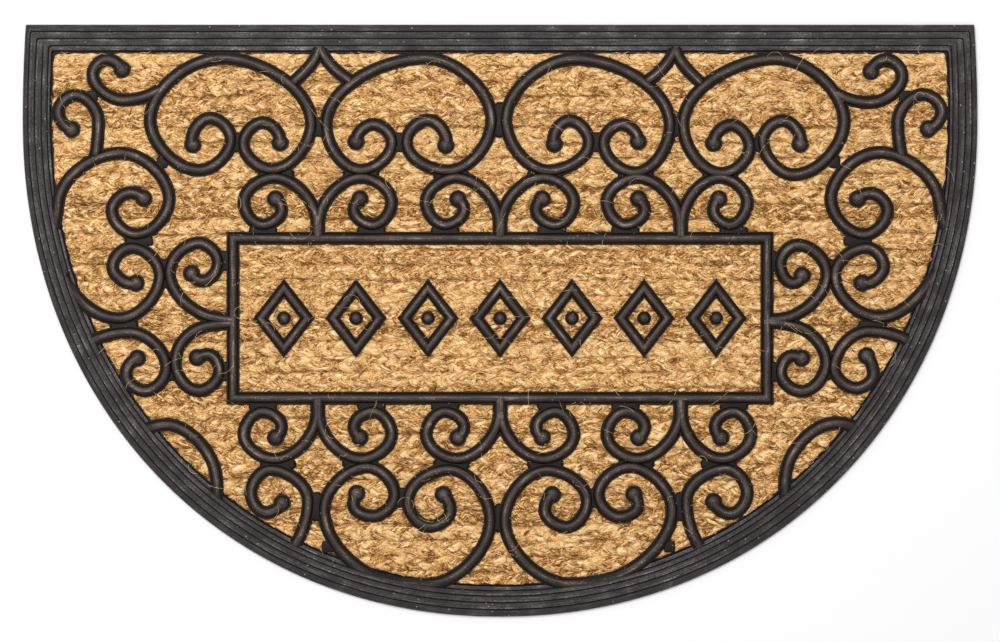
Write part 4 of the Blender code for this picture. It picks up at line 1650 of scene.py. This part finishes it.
@dataclass
class Studio:
    """A pale floor, a broad soft light and a camera straight above the mat."""

    seen_width: float = 0.786  # metres of floor across the picture
    seen_middle_y: float = -0.0003
    lens: float = 200.0
    sensor: float = 36.0
    floor_size: float = 6.0
    floor_gap: float = 0.0002
    lamp_place: Triple = (-0.5, 0.8, 2.3)
    lamp_size: float = 1.5
    lamp_watts: float = 40.0
    room_light: float = 0.6

    def lay_floor(self) -> None:
        """Makes the floor."""
        bm = bmesh.new()
        bmesh.ops.create_grid(bm, x_segments=1, y_segments=1, size=self.floor_size / 2)
        bmesh.ops.translate(bm, vec=(0.0, 0.0, -self.floor_gap), verts=bm.verts)
        mesh = bpy.data.meshes.new("floor")
        bm.to_mesh(mesh)
        bm.free()
        mesh.materials.append(PaintedFloor().material())
        put_in_scene("floor", mesh)

    def hang_light(self) -> None:
        """Hangs a square soft light that faces the mat."""
        lamp = bpy.data.lights.new("soft_key", "AREA")
        lamp.shape = "SQUARE"
        lamp.size = self.lamp_size
        lamp.energy = self.lamp_watts
        light = put_in_scene("soft_key", lamp)
        light.location = self.lamp_place
        light.rotation_euler = light.location.to_track_quat("Z", "Y").to_euler()

    def fill_room(self) -> None:
        """Lights the room evenly from all round."""
        world = bpy.data.worlds.new("pale_room")
        world.use_nodes = True
        background = world.node_tree.nodes["Background"]
        background.inputs["Color"].default_value = linear("#ffffff")
        background.inputs["Strength"].default_value = self.room_light
        bpy.context.scene.world = world

    def set_camera(self) -> None:
        """Sets the camera straight above, so that the floor fills the picture's width."""
        data = bpy.data.cameras.new("camera")
        data.lens = self.lens
        data.sensor_width = self.sensor
        camera = put_in_scene("camera", data)
        camera.location = (0.0, self.seen_middle_y, self.seen_width * self.lens / self.sensor)
        bpy.context.scene.camera = camera

    def build(self) -> None:
        """Makes the whole studio."""
        self.set_camera()
        self.lay_floor()
        self.hang_light()
        self.fill_room()
        bpy.context.scene.view_settings.view_transform = "Standard"


def mat_outline() -> Outline:
    """Reads the outline's width and depth from the solid border."""
    low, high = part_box("rubber_tray")
    return Outline((high.x - low.x) / MM, (high.y - low.y) / MM)


def main() -> None:
    """Dresses the mat piece by piece."""
    logging.basicConfig(level=logging.INFO, format="%(name)s: %(message)s")
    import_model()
    Studio().build()
    outline = mat_outline()
    border = BORDER_RUBBER.material()
    bar_rubber = BAR_RUBBER.material()
    coir = COIR.material()

    finish_piece(RubberTray(outline).build(), border)
    bars = BarWork(outline)
    bars.lay_out()
    for piece in bars.build() + LozengeRow(bars).build():
        finish_piece(piece, bar_rubber)
    field_of_coir = CoirField(outline, bars)
    plaits = field_of_coir.build_plaits()
    base = field_of_coir.build_base()
    fibres = field_of_coir.build_fibres()
    for piece in [*plaits, base]:
        finish_piece(piece, coir)
    loose = LOOSE_COIR.material()
    for piece in fibres:
        finish_piece(piece, loose)


if __name__ == "__main__":
    main()
